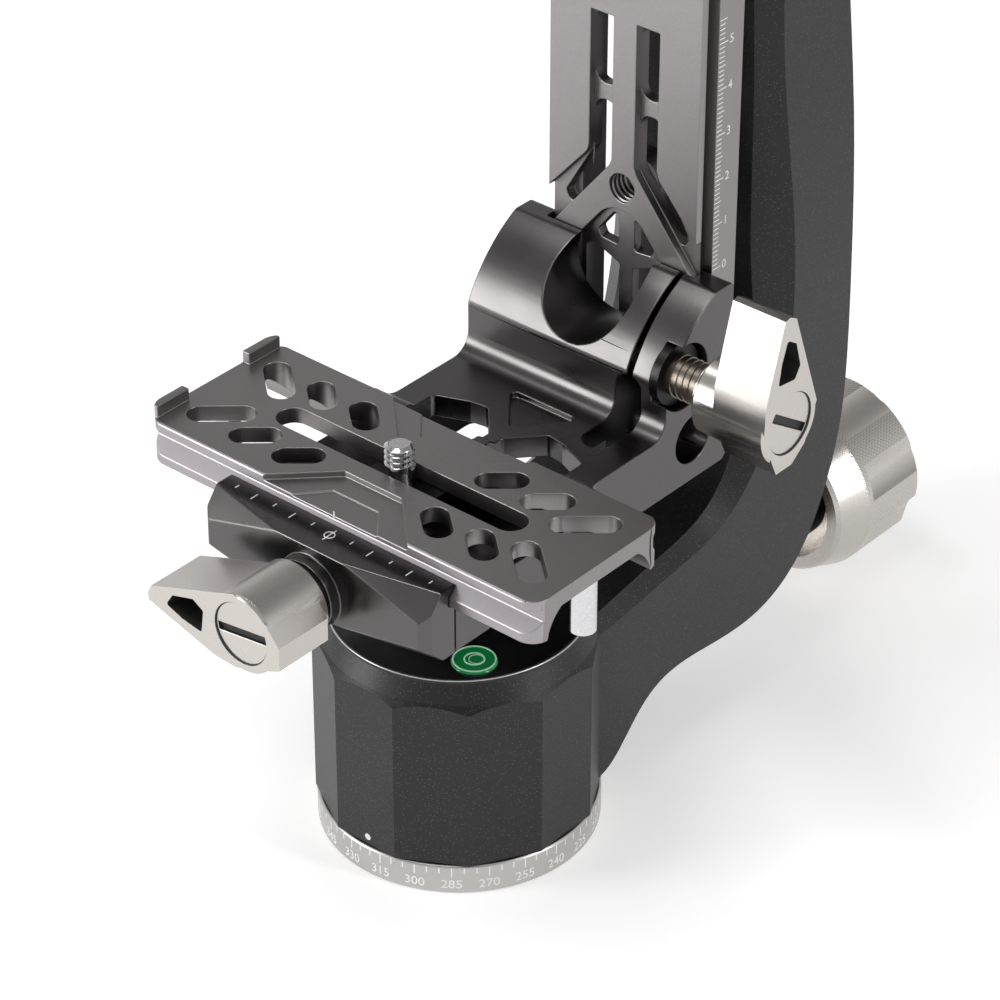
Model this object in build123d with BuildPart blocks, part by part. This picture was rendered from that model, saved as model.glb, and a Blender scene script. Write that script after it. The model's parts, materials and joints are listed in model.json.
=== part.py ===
from build123d import *
import os
from math import sqrt

# Gimbal tripod head. Millimetres, +Z up. The origin is on the pan axis, in the plane
# of the base that seats on the tripod. The lens looks along X. The arm stands at +Y.

# ---------------------------------------------------------------- shared clearances
running = 0.05  # radial gap round a shaft, pin or stud that turns or slides
face_gap = 0.2  # gap between flat faces that move past each other
seat_gap = 0.02  # gap of a part that is pressed or glued into its seat

# ---------------------------------------------------------------- base and pan spindle
ring_radius = 29.4
ring_height = 6.9
ring_wall = 5.4
ring_bevel = 0.4
base_plate_thickness = 5.5
spindle_flange_radius = 15.5
spindle_flange_thickness = 3.0
drum_radius = 11.0
race_seat_radius = 8.0
tripod_thread_radius = 4.76
tripod_thread_length = 12.0
insert_wall = 2.2
base_screw_radius = 1.5
base_screw_circle = 12.6
base_screw_head = 2.8
base_screw_head_height = 1.6
base_screw_sink = 0.4
base_screw_socket = 1.2
base_screw_count = 3

# ---------------------------------------------------------------- cup of the arm
cup_facets = 12
cup_apothem = 28.7
cup_bottom = ring_height + 0.3
rim_height = 50.9
rim_radius = 26.4
rim_wall = 0.7
shoulder_height = 4.6
cover_thickness = 1.6
cover_sink = 0.35
cover_ledge = 2.0
bush_length = 6.5
bush_wall = 4.0
washer_thickness = 0.7
race_width = 8.0
race_ring = 2.6
race_outer_radius = 16.0
nut_height = 4.0
nut_radius = 12.0
nut_slot = 3.0
spindle_end_room = 2.65  # from the end of the spindle up to the cover
spindle_end_stand = 0.3
vial_radius = 4.7
vial_height = 5.0
vial_place = (15.0, -12.4)

# ---------------------------------------------------------------- C-shaped arm
arm_side = 24.0
arm_top_side = 19.0
arm_set_back = 4.4  # from the back of the tilt housing to the back of the arm
knob_axis_height = 21.6
boss_radius = 10.0
boss_end = 112.0
rod_radius = 4.0
pad_radius = 4.9
pad_length = 8.0

# ---------------------------------------------------------------- tilt axis
tilt_height = 190.0  # height of the tilt axis
housing_radius = 27.0
housing_front = 65.0
housing_back = 101.8
housing_bevel = 1.2
axle_end_room = 5.6  # from the rear race back to the face of the housing
axle_nut_wall = 4.5
axle_nut_slot = 3.0
axle_radius = 10.0
axle_flange_radius = 19.0
axle_flange_thickness = 2.8
tilt_race_width = 8.0
tilt_race_ring = 3.0
tilt_race_outer = 20.0
axle_screw_radius = 1.6
axle_screw_circle = 14.5
axle_screw_bite = 8.0
cover_plate_radius = 25.5
cover_plate_thickness = 4.0
cover_boss_radius = 11.0
cover_boss_length = 12.0
cover_screw_radius = 1.5
cover_screw_circle = 22.0
cover_screw_bite = 7.0
cover_screw_head = 1.5
tilt_pad_radius = 7.0
tilt_pad_thickness = 3.0

# ---------------------------------------------------------------- knobs of the two brakes
pan_grip_radius = 19.5
pan_grip_length = 27.5
pan_grip_start = 107.5
tilt_grip_radius = 22.0
tilt_grip_length = 30.0
tilt_grip_gap = 4.7
grip_flutes = 8
grip_flute_depth = 1.7
grip_cap_thickness = 1.2
grip_cap_rim = 5.5
pad_gap = 0.08

# ---------------------------------------------------------------- swing rail
rail_front = 50.0
rail_back = 61.7
rail_side = 20.0
rail_bottom = 70.0
rail_head_radius = 25.0
rail_cap_radius = 11.0
rail_cap_stand = 0.9
flange_side = 18.9
flange_edge = 1.8
groove_bottom = 54.0
groove_side = 16.7
front_plate = 4.2
channel_side = 13.5
channel_bottom = 74.0
channel_top = 163.0
channel_corner = 4.0
pocket_depth = 1.8
spine_half = 2.9
panel_edge = 8.6
panel_foot = (17.2, 121.0)  # X and Z of the low corner of a side panel
panel_knee = 130.8
leg_top = (3.5, 129.0)  # X and Z where the outer edge of a leg leaves the spine
leg_foot = (17.0, 112.2)
leg_bend = 4.0
arch_top = 120.1
arch_side = (5.6, 117.4)
arch_knee = (11.6, 110.0)
arch_foot = 79.0
strut_half = 1.7
bar_low = 142.1
bar_high = 145.8
window_top = 162.0
window_round = 2.6
accessory_thread_radius = 3.175
accessory_thread_height = 125.0
accessory_thread_length = 9.0
accessory_boss_radius = 6.2
end_stop_thickness = 2.5
end_stop_lip = 2.5
end_screw_x = 16.6
end_screw_y = 57.6
end_screw_radius = 1.5
end_screw_bite = 8.0

# ---------------------------------------------------------------- platform
bracket_side = 26.0
clamp_side = 29.0
clamp_joint = 4.2  # Y at which the fixed half of the clamp meets the bracket
shelf_bottom = 71.0
shelf_top = 85.5
block_front = 33.0
block_nose = 96.5
block_bulge = (38.6, 104.9)  # Y and Z half way up the curved front of the block
block_top = 112.0
block_top_front = 48.0
shelf_corner = 4.5
shelf_thickness = 5.0
shelf_pocket_depth = 1.3
hook_end = 53.7
slit_x = 16.3
slit_width = 1.3
slit_pocket_width = 6.6
slit_pocket_length = 21.0
slit_pocket_height = 16.0
slit_pocket_y = 31.0
notch_radius = 10.5
notch_height = 107.6
lock_axis = (38.6, 96.7)  # Y and Z
stud_radius = 4.3
stud_inner_radius = 3.0
lock_counterbore = 4.0
lock_counterbore_radius = 7.2
lock_washer_thickness = 2.0
side_hole = (41.8, 80.8)  # Y and Z
side_hole_radius = 5.4
side_hole_depth = 7.0

# ---------------------------------------------------------------- lens plate and clamp
plate_length = 100.0
plate_width = 37.6
plate_thickness = 9.5
plate_centre_y = -16.8
plate_bottom = 82.3
plate_flange = 2.2
plate_lip = 2.0
plate_slope = 2.7
plate_web = 3.6
plate_corner = 4.0
slot_width = 5.6
screw_slot_width = 6.9
screw_slot_length = 63.0
jaw_top = 86.5
jaw_gap = 0.3
jaw_clearance = 0.15
jaw_depth = 8.6
jaw_bottom = 70.8
jaw_corner = 1.8
upper_facet = (8.0, 4.6, 6.0)  # start along X, then depth along Y and drop at the end of the jaw
lower_facet = (4.0, 5.2, 4.8)
clamp_axis_height = 76.9
clamp_stud_radius = 4.0
guide_pin_radius = 2.0
guide_pin_x = 19.0
guide_pin_reach = 6.5
pin_bite = 16.0
spring_length = 5.5
clamp_washer_thickness = 0.7
clamp_washer_radius = 7.2
jaw_boss_radius = 7.6
camera_thread_radius = 3.175
camera_thread_top = 97.3
screw_shank_radius = 2.9
screw_head_radius = 7.2
screw_head_height = 3.6
slider_length = 17.0
slider_thickness = 1.0
stop_pin_radius = 2.65
stop_pin_x = 46.0
stop_pin_drop = 7.5

# ---------------------------------------------------------------- lever knobs
barrel_radius = 8.6
lock_barrel_length = 18.1
clamp_barrel_length = 15.6
lock_neck_radius = 6.0
clamp_neck_radius = 6.6
lock_neck_length = 1.5
clamp_neck_length = 0.4
lever_end_wall = 3.2
lock_washer_radius = 6.6
stud_inner_end = 9.5
wing_reach = 24.3
lock_wing_length = 12.6
clamp_wing_length = 13.4
wing_window = [(15.2, 3.6), (19.6, 2.0), (17.8, -0.8), (12.3, -2.4), (9.7, -0.8), (10.4, 4.4)]
lever_cap_radius = 6.7
lever_cap_depth = 1.8
lever_cap_sink = 0.4
cap_slot_width = 1.8
cap_slot_length = 12.4
cap_slot_depth = 0.8
lock_slot_turn = -33.6
clamp_slot_turn = -82.3
lever_end_x = 52.0
lever_end_y = -62.0

# ---------------------------------------------------------------- values worked out
plate_top = plate_bottom + plate_thickness
plate_half = plate_width / 2
plate_front = plate_centre_y - plate_half
plate_rear = plate_centre_y + plate_half
clamp_floor = plate_bottom - 0.1
drum_bottom = base_plate_thickness + spindle_flange_thickness
washer_bottom = drum_bottom + 0.05
bush_bottom = washer_bottom + washer_thickness + 0.05
cover_top = rim_height - cover_sink
cover_bottom = cover_top - cover_thickness
spindle_top = cover_bottom - spindle_end_room
race_top = spindle_top - spindle_end_stand - nut_height
race_bottom = race_top - race_width
insert_radius = tripod_thread_radius + insert_wall
arm_back = housing_back - arm_set_back
axle_front = rail_back
axle_shoulder = axle_front + axle_flange_thickness
front_race = housing_front + 0.8
rear_race = housing_back - axle_end_room - tilt_race_width
tilt_grip_start = housing_back + cover_plate_thickness + tilt_grip_gap
axle_thread = rear_race + tilt_race_width
axle_end = axle_thread + 3.4
tilt_pad_front = axle_end + 0.1

ALONG_X = (1, 0, 0)
ALONG_Y = (0, 1, 0)


def axis_plane(x, y, z, towards):
    """A sketch plane at a point, facing along X (its own X along Y) or along Y (its own X along X)."""
    across = ALONG_X if towards == ALONG_Y else ALONG_Y
    return Plane(origin=(x, y, z), x_dir=across, z_dir=towards)


side_view = Plane(origin=(0, 0, 0), x_dir=(0, 1, 0), z_dir=(1, 0, 0))  # local axes are Y and Z
front_view = Plane(origin=(0, 0, 0), x_dir=(1, 0, 0), z_dir=(0, -1, 0))  # local axes are X and Z


# ================================================================ base
with BuildPart() as scale_ring:
    with BuildSketch():
        Circle(ring_radius)
        Circle(ring_radius - ring_wall, mode=Mode.SUBTRACT)
    extrude(amount=ring_height)
    ring_edges = scale_ring.edges().filter_by(GeomType.CIRCLE)
    chamfer(ring_edges.group_by(SortBy.RADIUS)[-1], ring_bevel)

with BuildPart() as base_plate:
    with BuildSketch():
        Circle(ring_radius - ring_wall - seat_gap)
    extrude(amount=base_plate_thickness)
    with Locations((0, 0, base_plate_thickness)):
        CounterBoreHole(insert_radius + seat_gap, insert_radius + seat_gap + 0.5, 0.5)
    with BuildSketch():
        with PolarLocations(base_screw_circle, base_screw_count):
            Circle(base_screw_radius + running)
    extrude(amount=base_plate_thickness, mode=Mode.SUBTRACT)
    with BuildSketch():
        with PolarLocations(base_screw_circle, base_screw_count):
            Circle(base_screw_head + running)
    extrude(amount=base_screw_sink + base_screw_head_height, mode=Mode.SUBTRACT)

with BuildPart() as pan_spindle:
    with BuildSketch(Plane.XZ):
        with BuildLine():
            Polyline(
                (0, base_plate_thickness),
                (spindle_flange_radius, base_plate_thickness),
                (spindle_flange_radius, drum_bottom),
                (drum_radius, drum_bottom),
                (drum_radius, race_bottom),
                (race_seat_radius, race_bottom),
                (race_seat_radius, spindle_top),
                (0, spindle_top),
                close=True,
            )
        make_face()
    revolve(axis=Axis.Z)
    with BuildSketch():
        Circle(insert_radius + seat_gap)
    extrude(amount=tripod_thread_length + 0.5, mode=Mode.SUBTRACT)
    with BuildSketch(Plane.XY.offset(base_plate_thickness)):
        with PolarLocations(base_screw_circle, base_screw_count):
            Circle(base_screw_radius + seat_gap)
    extrude(amount=spindle_flange_thickness, mode=Mode.SUBTRACT)

with BuildPart() as thread_insert:
    with BuildSketch():
        Circle(insert_radius)
        Circle(tripod_thread_radius, mode=Mode.SUBTRACT)
    extrude(amount=tripod_thread_length)

with BuildPart() as base_screws:
    with BuildSketch(Plane.XY.offset(base_screw_sink)):
        with PolarLocations(base_screw_circle, base_screw_count):
            Circle(base_screw_head)
            RegularPolygon(base_screw_socket, 6, mode=Mode.SUBTRACT)
    extrude(amount=base_screw_head_height)
    with BuildSketch(Plane.XY.offset(base_screw_sink + base_screw_socket)):
        with PolarLocations(base_screw_circle, base_screw_count):
            Circle(base_screw_radius)
    extrude(amount=drum_bottom - 0.2 - base_screw_sink - base_screw_socket)

with BuildPart() as thrust_washer:
    with BuildSketch(Plane.XY.offset(washer_bottom)):
        Circle(spindle_flange_radius)
        Circle(drum_radius + running, mode=Mode.SUBTRACT)
    extrude(amount=washer_thickness)

with BuildPart() as pan_bearing_inner:
    with BuildSketch(Plane.XY.offset(race_bottom)):
        Circle(race_seat_radius + race_ring)
        Circle(race_seat_radius + seat_gap, mode=Mode.SUBTRACT)
    extrude(amount=race_width)

with BuildPart() as spindle_nut:
    with BuildSketch(Plane.XY.offset(race_top + 0.1)):
        Circle(nut_radius)
        Circle(race_seat_radius + seat_gap, mode=Mode.SUBTRACT)
        with PolarLocations(nut_radius, 4):
            Rectangle(nut_slot, nut_slot, mode=Mode.SUBTRACT)
    extrude(amount=nut_height)

# ================================================================ arm
# Each section of the arm lies in a plane that holds the X direction. The two ends of its
# side face are given as (Y, Z), with its half width and its inner and outer bevels.
bush_top = bush_bottom + bush_length
arm_sections = [
    ((12.0, 45.5), (12.0, 9.5), arm_side - 1.0, 2.5, 1.5),
    ((31.0, 47.6), (31.0, 20.8), arm_side, 3.0, 3.0),
    ((46.0, 49.6), (48.0, 23.8), arm_side, 3.2, 4.0),
    ((59.5, 54.6), (73.0, 24.3), arm_side, 3.8, 4.0),
    ((69.2, 65.5), (88.5, 38.0), arm_side, 4.8, 4.0),
    ((75.8, 82.0), (96.0, 60.5), arm_side, 6.0, 4.0),
    ((77.6, 100.0), (arm_back, 92.0), arm_side - 0.5, 6.6, 4.0),
    ((76.8, 120.0), (arm_back, 120.0), arm_side - 1.4, 6.0, 4.0),
    ((75.4, 142.0), (arm_back, 142.0), arm_side - 3.1, 4.6, 4.0),
    ((75.2, 158.0), (arm_back - 0.6, 158.0), arm_top_side + 0.7, 4.2, 4.0),
    ((75.0, tilt_height - 16.0), (arm_back - 1.4, tilt_height - 16.0), arm_top_side, 4.0, 3.8),
]

with BuildPart() as arm_frame:
    # cup round the pan spindle
    with BuildSketch(Plane.XY.offset(cup_bottom)):
        RegularPolygon(cup_apothem, cup_facets, major_radius=False, rotation=180 / cup_facets)
    extrude(amount=rim_height - cup_bottom)
    with BuildSketch(Plane.XZ):
        with BuildLine():
            Polyline(
                (rim_radius, rim_height + 1),
                (rim_radius, rim_height - 0.8),
                (cup_apothem - 0.4, rim_height - shoulder_height),
                (cup_apothem + 2.0, rim_height - shoulder_height - 3.0),
                (cup_apothem + 2.0, rim_height + 1),
                close=True,
            )
        make_face()
    revolve(axis=Axis.Z, mode=Mode.SUBTRACT)
    # the C, from the cup to the tilt axis
    for inner, outer, half_width, inner_bevel, outer_bevel in arm_sections:
        reach = Vector(0, outer[0] - inner[0], outer[1] - inner[1])
        face_length = reach.length
        section = Plane(origin=(0, inner[0], inner[1]), x_dir=(1, 0, 0), z_dir=Vector(1, 0, 0).cross(reach))
        with BuildSketch(section):
            with BuildLine():
                Polyline(
                    (half_width, 0),
                    (half_width, face_length),
                    (half_width - outer_bevel, face_length + outer_bevel),
                    (outer_bevel - half_width, face_length + outer_bevel),
                    (-half_width, face_length),
                    (-half_width, 0),
                    (inner_bevel - half_width, -inner_bevel),
                    (half_width - inner_bevel, -inner_bevel),
                    close=True,
                )
            make_face()
    loft()
    split(bisect_by=Plane.XY.offset(cup_bottom), keep=Keep.TOP)
    # round housing of the tilt axis
    with BuildSketch(Plane.XY.offset(tilt_height)):
        with BuildLine():
            Polyline(
                (0, housing_front),
                (housing_radius - housing_bevel, housing_front),
                (housing_radius, housing_front + housing_bevel),
                (housing_radius, housing_back - housing_bevel),
                (housing_radius - housing_bevel, housing_back),
                (0, housing_back),
                close=True,
            )
        make_face()
    revolve(axis=Axis(origin=(0, 0, tilt_height), direction=(0, 1, 0)))
    # boss that carries the rod of the pan brake, under the arm from the cup to the knob
    with BuildSketch(axis_plane(0, drum_radius + pad_length, knob_axis_height, ALONG_Y)):
        Circle(boss_radius)
    extrude(amount=boss_end - drum_radius - pad_length)
    # seats and room for the pan bearings, the nut and the top cover
    with BuildSketch(Plane.XZ):
        with BuildLine():
            Polyline(
                (0, cup_bottom),
                (spindle_flange_radius + 0.4, cup_bottom),
                (spindle_flange_radius + 0.4, bush_bottom - 0.02),
                (drum_radius + bush_wall, bush_bottom - 0.02),
                (drum_radius + bush_wall, bush_top),
                (drum_radius + 1.0, bush_top),
                (drum_radius + 1.0, race_bottom),
                (race_outer_radius, race_bottom),
                (race_outer_radius, race_top),
                (rim_radius - cover_ledge, race_top),
                (rim_radius - cover_ledge, cover_bottom),
                (rim_radius - rim_wall, cover_bottom),
                (rim_radius - rim_wall, rim_height),
                (0, rim_height),
                close=True,
            )
        make_face()
    revolve(axis=Axis.Z, mode=Mode.SUBTRACT)
    # bore of the pan brake
    with BuildSketch(axis_plane(0, 0, knob_axis_height, ALONG_Y)):
        Circle(rod_radius + running)
    extrude(amount=boss_end, mode=Mode.SUBTRACT)
    with BuildSketch(axis_plane(0, 0, knob_axis_height, ALONG_Y)):
        Circle(pad_radius + seat_gap)
    extrude(amount=drum_radius + pad_length + 1.0, mode=Mode.SUBTRACT)
    # seats of the tilt bearings
    with BuildSketch(axis_plane(0, housing_front, tilt_height, ALONG_Y)):
        Circle(tilt_race_outer + 0.5)
    extrude(amount=front_race - housing_front, mode=Mode.SUBTRACT)
    with BuildSketch(axis_plane(0, front_race, tilt_height, ALONG_Y)):
        Circle(tilt_race_outer)
    extrude(amount=tilt_race_width, mode=Mode.SUBTRACT)
    with BuildSketch(axis_plane(0, front_race, tilt_height, ALONG_Y)):
        Circle(axle_radius + tilt_race_ring + 1.5)
    extrude(amount=rear_race - front_race, mode=Mode.SUBTRACT)
    with BuildSketch(axis_plane(0, rear_race, tilt_height, ALONG_Y)):
        Circle(tilt_race_outer)
    extrude(amount=housing_back - rear_race, mode=Mode.SUBTRACT)
    with BuildSketch(axis_plane(0, housing_back, tilt_height, ALONG_Y)):
        with PolarLocations(cover_screw_circle, 4, start_angle=45):
            Circle(cover_screw_radius + seat_gap)
    extrude(amount=-(cover_screw_bite + 1.0), mode=Mode.SUBTRACT)

with BuildPart() as top_cover:
    with BuildSketch(Plane.XY.offset(cover_bottom)):
        Circle(rim_radius - rim_wall - seat_gap)
        with Locations(vial_place):
            Circle(vial_radius + seat_gap, mode=Mode.SUBTRACT)
    extrude(amount=cover_thickness)

with BuildPart() as level_vial:
    with BuildSketch(Plane.XY.offset(cover_top + 0.5 - vial_height)):
        with Locations(vial_place):
            Circle(vial_radius)
    extrude(amount=vial_height)
    fillet(level_vial.edges().group_by(Axis.Z)[-1], 0.6)

with BuildPart() as pan_bush:
    with BuildSketch(Plane.XY.offset(bush_bottom)):
        Circle(drum_radius + bush_wall - seat_gap)
        Circle(drum_radius + running, mode=Mode.SUBTRACT)
    extrude(amount=bush_length)

with BuildPart() as pan_bearing_outer:
    with BuildSketch(Plane.XY.offset(race_bottom)):
        Circle(race_outer_radius - seat_gap)
        Circle(race_outer_radius - race_ring, mode=Mode.SUBTRACT)
    extrude(amount=race_width)

with BuildPart() as pan_brake_pad:
    with BuildSketch(axis_plane(0, drum_radius + pad_gap, knob_axis_height, ALONG_Y)):
        Circle(pad_radius)
    extrude(amount=pad_length)

# ================================================================ tilt axis
with BuildPart() as tilt_axle:
    with BuildSketch(axis_plane(0, axle_front, tilt_height, ALONG_Y)):
        Circle(axle_flange_radius)
    extrude(amount=axle_flange_thickness)
    with BuildSketch(axis_plane(0, axle_front, tilt_height, ALONG_Y)):
        Circle(axle_radius)
    extrude(amount=axle_end - axle_front)
    with BuildSketch(axis_plane(0, axle_front, tilt_height, ALONG_Y)):
        with PolarLocations(axle_screw_circle, 4, start_angle=45):
            Circle(axle_screw_radius + seat_gap)
    extrude(amount=axle_flange_thickness, mode=Mode.SUBTRACT)

with BuildPart() as axle_screws:
    with BuildSketch(axis_plane(0, axle_shoulder, tilt_height, ALONG_Y)):
        with PolarLocations(axle_screw_circle, 4, start_angle=45):
            Circle(axle_screw_radius)
    extrude(amount=-(axle_flange_thickness + axle_screw_bite))


def tilt_race(face_y, inner, outer):
    """One race of a tilt bearing, as a plain ring round the tilt axis."""
    with BuildPart() as race:
        with BuildSketch(axis_plane(0, face_y, tilt_height, ALONG_Y)):
            Circle(outer)
            Circle(inner, mode=Mode.SUBTRACT)
        extrude(amount=tilt_race_width)
    return race


tilt_race_inner_front = tilt_race(front_race, axle_radius + seat_gap, axle_radius + tilt_race_ring)
tilt_race_inner_rear = tilt_race(rear_race, axle_radius + seat_gap, axle_radius + tilt_race_ring)
tilt_race_outer_front = tilt_race(front_race, tilt_race_outer - tilt_race_ring, tilt_race_outer - seat_gap)
tilt_race_outer_rear = tilt_race(rear_race, tilt_race_outer - tilt_race_ring, tilt_race_outer - seat_gap)

with BuildPart() as axle_nut:
    with BuildSketch(axis_plane(0, axle_thread + 0.05, tilt_height, ALONG_Y)):
        Circle(axle_radius + axle_nut_wall)
        Circle(axle_radius + seat_gap, mode=Mode.SUBTRACT)
        with PolarLocations(axle_radius + axle_nut_wall, 4):
            Rectangle(axle_nut_slot, axle_nut_slot, mode=Mode.SUBTRACT)
    extrude(amount=axle_end - axle_thread - 0.5)

with BuildPart() as tilt_cover:
    with BuildSketch(axis_plane(0, housing_back, tilt_height, ALONG_Y)):
        Circle(cover_plate_radius)
    extrude(amount=cover_plate_thickness)
    cover_rim = tilt_cover.faces().sort_by(Axis.Y)[-1].edges()
    chamfer(cover_rim, 1.0)
    with BuildSketch(axis_plane(0, housing_back, tilt_height, ALONG_Y)):
        Circle(cover_boss_radius)
    extrude(amount=cover_plate_thickness + cover_boss_length)
    with BuildSketch(axis_plane(0, housing_back, tilt_height, ALONG_Y)):
        Circle(tilt_pad_radius + seat_gap)
    extrude(amount=tilt_pad_front + tilt_pad_thickness - housing_back + 0.05, mode=Mode.SUBTRACT)
    with BuildSketch(axis_plane(0, housing_back, tilt_height, ALONG_Y)):
        Circle(rod_radius + running)
    extrude(amount=cover_plate_thickness + cover_boss_length, mode=Mode.SUBTRACT)
    with BuildSketch(axis_plane(0, housing_back, tilt_height, ALONG_Y)):
        with PolarLocations(cover_screw_circle, 4, start_angle=45):
            Circle(cover_screw_radius + seat_gap)
    extrude(amount=cover_plate_thickness, mode=Mode.SUBTRACT)

with BuildPart() as tilt_cover_screws:
    with BuildSketch(axis_plane(0, housing_back + cover_plate_thickness, tilt_height, ALONG_Y)):
        with PolarLocations(cover_screw_circle, 4, start_angle=45):
            Circle(cover_screw_radius)
    extrude(amount=-(cover_plate_thickness + cover_screw_bite))
    with BuildSketch(axis_plane(0, housing_back + cover_plate_thickness, tilt_height, ALONG_Y)):
        with PolarLocations(cover_screw_circle, 4, start_angle=45):
            Circle(cover_screw_radius * 1.6)
            RegularPolygon(cover_screw_radius * 0.75, 6, mode=Mode.SUBTRACT)
    extrude(amount=cover_screw_head)

with BuildPart() as tilt_brake_pad:
    with BuildSketch(axis_plane(0, tilt_pad_front, tilt_height, ALONG_Y)):
        Circle(tilt_pad_radius)
    extrude(amount=tilt_pad_thickness)


# ================================================================ knobs of the two brakes
def brake_grip(start, radius, length, height, boss):
    """Fluted knob along Y: a cone, a fluted drum, a hollow towards the arm and a seat for its cap."""
    near_radius = radius * 0.875
    hollow_radius = boss + 3.8
    hollow_depth = length * 0.36
    cone_length = length * 0.3
    flute_radius = radius * 0.42
    end = start + length
    with BuildPart() as grip:
        with BuildSketch(Plane.XY.offset(height)):
            with BuildLine():
                Polyline(
                    (rod_radius + seat_gap, start + hollow_depth),
                    (hollow_radius, start + hollow_depth),
                    (hollow_radius, start),
                    (near_radius - 0.8, start),
                    (near_radius, start + 0.8),
                    (radius, start + cone_length),
                    (radius, end - 1.5),
                    (radius - 1.5, end),
                    (radius - grip_cap_rim, end),
                    (radius - grip_cap_rim, end - grip_cap_thickness),
                    (rod_radius + seat_gap, end - grip_cap_thickness),
                    close=True,
                )
            make_face()
        revolve(axis=Axis(origin=(0, 0, height), direction=(0, 1, 0)))
        with BuildSketch(axis_plane(0, start + cone_length + 1.5, height, ALONG_Y)):
            with PolarLocations(radius + flute_radius - grip_flute_depth, grip_flutes, start_angle=22.5):
                Circle(flute_radius)
        extrude(amount=length, mode=Mode.SUBTRACT)
    return grip


pan_knob_grip = brake_grip(pan_grip_start, pan_grip_radius, pan_grip_length, knob_axis_height, boss_radius)
tilt_knob_grip = brake_grip(
    tilt_grip_start, tilt_grip_radius, tilt_grip_length, tilt_height, cover_boss_radius
)
pan_grip_end = pan_grip_start + pan_grip_length
tilt_grip_end = tilt_grip_start + tilt_grip_length
pan_rod_start = drum_radius + pad_gap + pad_length + 0.1
tilt_rod_start = tilt_pad_front + tilt_pad_thickness + 0.1

with BuildPart() as pan_knob_rod:
    with BuildSketch(axis_plane(0, pan_rod_start, knob_axis_height, ALONG_Y)):
        Circle(rod_radius)
    extrude(amount=pan_grip_end - grip_cap_thickness - pan_rod_start)

with BuildPart() as pan_knob_cap:
    with BuildSketch(axis_plane(0, pan_grip_end - grip_cap_thickness, knob_axis_height, ALONG_Y)):
        Circle(pan_grip_radius - grip_cap_rim - seat_gap)
    extrude(amount=grip_cap_thickness)

with BuildPart() as tilt_knob_rod:
    with BuildSketch(axis_plane(0, tilt_rod_start, tilt_height, ALONG_Y)):
        Circle(rod_radius)
    extrude(amount=tilt_grip_end - grip_cap_thickness - tilt_rod_start)

with BuildPart() as tilt_knob_cap:
    with BuildSketch(axis_plane(0, tilt_grip_end - grip_cap_thickness, tilt_height, ALONG_Y)):
        Circle(tilt_grip_radius - grip_cap_rim - seat_gap)
    extrude(amount=grip_cap_thickness)

# ================================================================ swing rail
plan_view = Plane.XY.offset(rail_bottom)
rail_face = Plane(origin=(0, rail_front, 0), x_dir=(1, 0, 0), z_dir=(0, -1, 0))
leg_slope = (leg_foot[1] - leg_top[1]) / (leg_foot[0] - leg_top[0])
panel_slope = (panel_foot[1] - panel_knee) / (panel_foot[0] - panel_edge)
past_side = rail_side + 2.0
leg_at_side = leg_top[1] + leg_slope * (past_side - leg_top[0])
panel_at_side = panel_foot[1] + panel_slope * (past_side - panel_foot[0])
spine_foot = leg_top[1] + 1.6
window_end = leg_foot[0] - 2.6
leg_at_window = leg_top[1] + leg_slope * (window_end - leg_top[0]) + 0.4
lower_strut = arch_knee[1] - 3.6

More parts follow.
